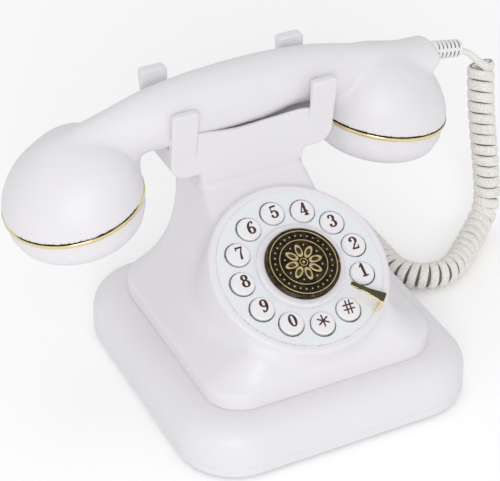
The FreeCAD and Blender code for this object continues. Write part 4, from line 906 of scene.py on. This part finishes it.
def stop_field(r, w, z):
    """Finger stop: a thin arm that widens outward, a tab into the drum, and a prong down to the plate."""
    half = np.interp(r, [22, 31, STOP_END], [0.95, 1.25, 2.5])
    arm = smooth_max(np.abs(w) - half, np.maximum(r - STOP_END, 22.3 - r), 0.8)
    arm = np.maximum(arm, np.abs(z - 3.6) - 0.55)
    tab = np.maximum(np.maximum(np.abs(r - 37.9) - 0.5, np.abs(w) - 1.2), np.abs(z) - 4.0)
    a, b = np.array((38.0, -1.9, 3.4)), np.array((36.9, -4.7, -1.5))
    way = b - a
    share = np.clip(((r - a[0]) * way[0] + (w - a[1]) * way[1] + (z - a[2]) * way[2]) / way.dot(way), 0, 1)
    prong = np.sqrt((r - a[0] - share * way[0]) ** 2 + (w - a[1] - share * way[1]) ** 2
                    + (z - a[2] - share * way[2]) ** 2) - 0.7
    return smooth_min(smooth_min(arm, tab, 0.3), prong, 0.4)


# Strain relief: its tip, the way it points, and its slits
BOOT_TIP = (119.29, 42.44, 110.38)
BOOT_WAY = (0.980, 0.050, -0.191)
SLITS = 6
SLIT_FIRST = 1.9
SLIT_STEP = 2.3
SLIT_HALF = 0.42


def boot_field(x, y, z):
    """Strain relief with six slits above and below a web on each side."""
    radial = np.hypot(y, z)
    form = smooth_max(radial - np.interp(x, [-20, 0], [4.5, 4.1]), np.maximum(x - 0.9, -20 - x), 1.6)
    web = 0.65 - np.abs(z - 1.3)
    for index in range(SLITS):
        slit = np.abs(x + SLIT_FIRST + SLIT_STEP * index - 0.12 * np.abs(z)) - SLIT_HALF
        slit = np.maximum(np.maximum(slit, 3.0 - radial), web)
        form = smooth_max(form, -slit, 0.25)
    return smooth_max(form, 1.3 - radial, 0.2)


def darkened(piece, tone, dark, test, name):
    """A material for one piece, with a darker tone where the test says so, used here for painted shade in
    recesses.
    """
    layer = piece.data.attributes.new("dark", "FLOAT", "POINT")
    for vertex, spot in zip(piece.data.vertices, layer.data):
        spot.value = test(vertex.co / MM)
    material = moulded(name, tone, 0.22, 0.01, 0.03, coat=0.3)
    tree = material.node_tree
    shader = tree.nodes["Principled BSDF"]
    plain = shader.inputs["Base Color"].links[0].from_socket
    deep = node(tree, "ShaderNodeAttribute", attribute_name="dark")
    mix = node(tree, "ShaderNodeMix", data_type="RGBA")
    mix.inputs["B"].default_value = dark
    tree.links.new(deep.outputs["Fac"], mix.inputs["Factor"])
    tree.links.new(plain, mix.inputs["A"])
    tree.links.new(mix.outputs["Result"], shader.inputs["Base Color"])
    piece.data.materials.append(material)


def cup_matrix(side):
    """Centre of a cup's ring, +Z along the cup's axis; side is -1 for the ear end, 1 for the other."""
    return HANDSET @ Matrix.Translation((side * CUP_SIDE, 0, 0)) @ Matrix.Rotation(side * CUP_TILT, 4, "Y")


def ring_material():
    """Gold with dark stretches along the upper edge, as a polished ring mirrors a dark room."""
    material = GOLD.copy()
    material.name = "mirror_gold"
    tree = material.node_tree
    shader = tree.nodes["Principled BSDF"]
    plain = shader.inputs["Base Color"].links[0].from_socket
    edge = node(tree, "ShaderNodeAttribute", attribute_name="dark")
    place = node(tree, "ShaderNodeTexCoord")
    stretch = node(tree, "ShaderNodeTexNoise", Scale=38.0, Detail=1.0)
    tree.links.new(place.outputs["Object"], stretch.inputs["Vector"])
    share = node(tree, "ShaderNodeMapRange", interpolation_type="SMOOTHSTEP")
    share.inputs["From Min"].default_value = 0.42
    share.inputs["From Max"].default_value = 0.52
    tree.links.new(stretch.outputs["Fac"], share.inputs["Value"])
    both = node(tree, "ShaderNodeMath", operation="MULTIPLY")
    tree.links.new(edge.outputs["Fac"], both.inputs[0])
    tree.links.new(share.outputs["Result"], both.inputs[1])
    mix = node(tree, "ShaderNodeMix", data_type="RGBA")
    mix.inputs["B"].default_value = colour(46, 36, 22)
    tree.links.new(both.outputs[0], mix.inputs["Factor"])
    tree.links.new(plain, mix.inputs["A"])
    tree.links.new(mix.outputs["Result"], shader.inputs["Base Color"])
    return material


def add_rings():
    gold = ring_material()
    profile = [(28.6, -1.2), (30.8, -1.2), (31.2, -1), (31.36, -0.5), (31.36, 0.2), (31.25, 0.5),
               (31.12, 0.6), (31.12, 0.75), (31.25, 0.85), (31.25, 1.05), (31.1, 1.2), (28.6, 1.2)]
    for name, side, old in (("earpiece_gold", -1, "earpiece_ring"),
                            ("mouthpiece_gold", 1, "mouthpiece_ring")):
        place = cup_matrix(side)
        ring = lathe(name, profile, place, 160, True)
        inverse = place.inverted()
        dark = ring.data.attributes.new("dark", "FLOAT", "POINT")
        for vertex, spot in zip(ring.data.vertices, dark.data):
            spot.value = 1.0 if (inverse @ (vertex.co / MM)).z > 0.55 else 0.0
        settle(ring, "handset", old, "gold", gold)


def add_small_pieces():
    inverse = DIAL.inverted()
    plate = skin_piece("plate_skin", plate_field, (-38, -38, -4.2), (38, 38, -1), 0.4, DIAL)
    # Painted shade: the plate's hole walls below its top are coloured near black, for the shadowed gaps round
    # the buttons.
    darkened(plate, colour(234, 237, 241), colour(26, 24, 24),
             lambda spot: 1.0 if (inverse @ spot).z < -1.62 else 0.0, "plate_with_painted_well_shade")
    settle(plate, "base", "dial_plate", "plate")
    stop = skin_piece("stop_skin", stop_field, (21.8, -6, -4.4), (39, 3.2, 4.6), 0.16,
                      DIAL @ Matrix.Rotation(STOP_ANGLE, 4, "Z"))
    settle(stop, "base", "finger_stop", "brass", BRASS, GOLD)
    # The top faces keep the dark brass; all other faces, the sides and bevelled edges, take polished gold as a
    # painted highlight along the edges.
    normal = Vector((0, -math.sin(LEAN), math.cos(LEAN)))
    for face in stop.data.polygons:
        face.material_index = 0 if face.normal.dot(normal) > 0.97 else 1
    way = Vector(BOOT_WAY).normalized()
    side = Vector((0, 0, 1)).cross(way).normalized()
    up = way.cross(side)
    place = Matrix((way, side, up)).transposed().to_4x4()
    place.translation = Vector(BOOT_TIP)
    inward = place.inverted()
    boot = skin_piece("strain_relief", boot_field, (-20.8, -5, -5), (1.6, 5, 5), 0.25, place)
    # Painted shade: the floors and lower walls of the slits, and the bore, are darkened to a grey brown.
    darkened(boot, colour(242, 240, 240), colour(120, 112, 100),
             lambda spot: 1.0 if math.hypot(*(inward @ spot)[1:]) < 3.6 and (inward @ spot).x < -1 else 0.0,
             "relief_white_with_painted_slit_shade")
    settle(boot, "handset", "cord_boot", "disc")


add_characters()
add_medallion()
add_small_pieces()
add_rings()


# Floor, world and lights: the floor glows a little for the camera, to come out as white as the backdrop
FLOOR_HALF = 8
FLOOR_GLOW = 0.12
SKY = 0.68
LAMP_AIM = (0, 0, 0.06)
LAMPS = [("key", (-0.9, -1.8, 1.0), 1.0, 14), ("left", (-1.6, -0.4, 0.9), 1.2, 1),
         ("right", (1.4, -0.7, 1.0), 1.4, 1), ("top", (0.1, 0.6, 1.8), 1.2, 1.5)]


def add_stage():
    low = cad_box[0][2]
    corners = [(x * FLOOR_HALF, y * FLOOR_HALF, low) for x, y in ((-1, -1), (1, -1), (1, 1), (-1, 1))]
    floor = mesh_piece("floor", corners, [(0, 1, 2, 3)], False)
    material, tree, shader = new_material("floor_white")
    shader.inputs["Base Color"].default_value = (1, 1, 1, 1)
    shader.inputs["Roughness"].default_value = 0.9
    shader.inputs["Specular IOR Level"].default_value = 0.0
    glow = node(tree, "ShaderNodeEmission")
    seen = node(tree, "ShaderNodeLightPath")
    only = node(tree, "ShaderNodeMath", operation="MULTIPLY")
    only.inputs[1].default_value = FLOOR_GLOW
    tree.links.new(seen.outputs["Is Camera Ray"], only.inputs[0])
    tree.links.new(only.outputs[0], glow.inputs["Strength"])
    sum_up = node(tree, "ShaderNodeAddShader")
    tree.links.new(shader.outputs["BSDF"], sum_up.inputs[0])
    tree.links.new(glow.outputs["Emission"], sum_up.inputs[1])
    tree.links.new(sum_up.outputs["Shader"], tree.nodes["Material Output"].inputs["Surface"])
    floor.data.materials.append(material)
    world = bpy.data.worlds.new("studio")
    bpy.context.scene.world = world
    world.use_nodes = True
    tree = world.node_tree
    soft = tree.nodes["Background"]
    soft.inputs["Color"].default_value = (1, 1, 1, 1)
    soft.inputs["Strength"].default_value = SKY
    white = node(tree, "ShaderNodeBackground")
    white.inputs["Color"].default_value = (1, 1, 1, 1)
    path = node(tree, "ShaderNodeLightPath")
    mix = node(tree, "ShaderNodeMixShader")
    tree.links.new(path.outputs["Is Camera Ray"], mix.inputs["Fac"])
    tree.links.new(soft.outputs["Background"], mix.inputs[1])
    tree.links.new(white.outputs["Background"], mix.inputs[2])
    tree.links.new(mix.outputs["Shader"], tree.nodes["World Output"].inputs["Surface"])


def add_lamp(name, place, wide, watts):
    data = bpy.data.lights.new(name, "AREA")
    data.shape = "DISK"
    data.size = wide
    data.energy = watts
    lamp = bpy.data.objects.new(name, data)
    lamp.location = place
    lamp.rotation_euler = (Vector(LAMP_AIM) - Vector(place)).to_track_quat("-Z", "Y").to_euler()
    bpy.context.collection.objects.link(lamp)


add_stage()
for name, place, wide, watts in LAMPS:
    add_lamp(name, place, wide, watts)
bpy.context.scene.view_settings.view_transform = "Standard"

bpy.context.view_layer.update()
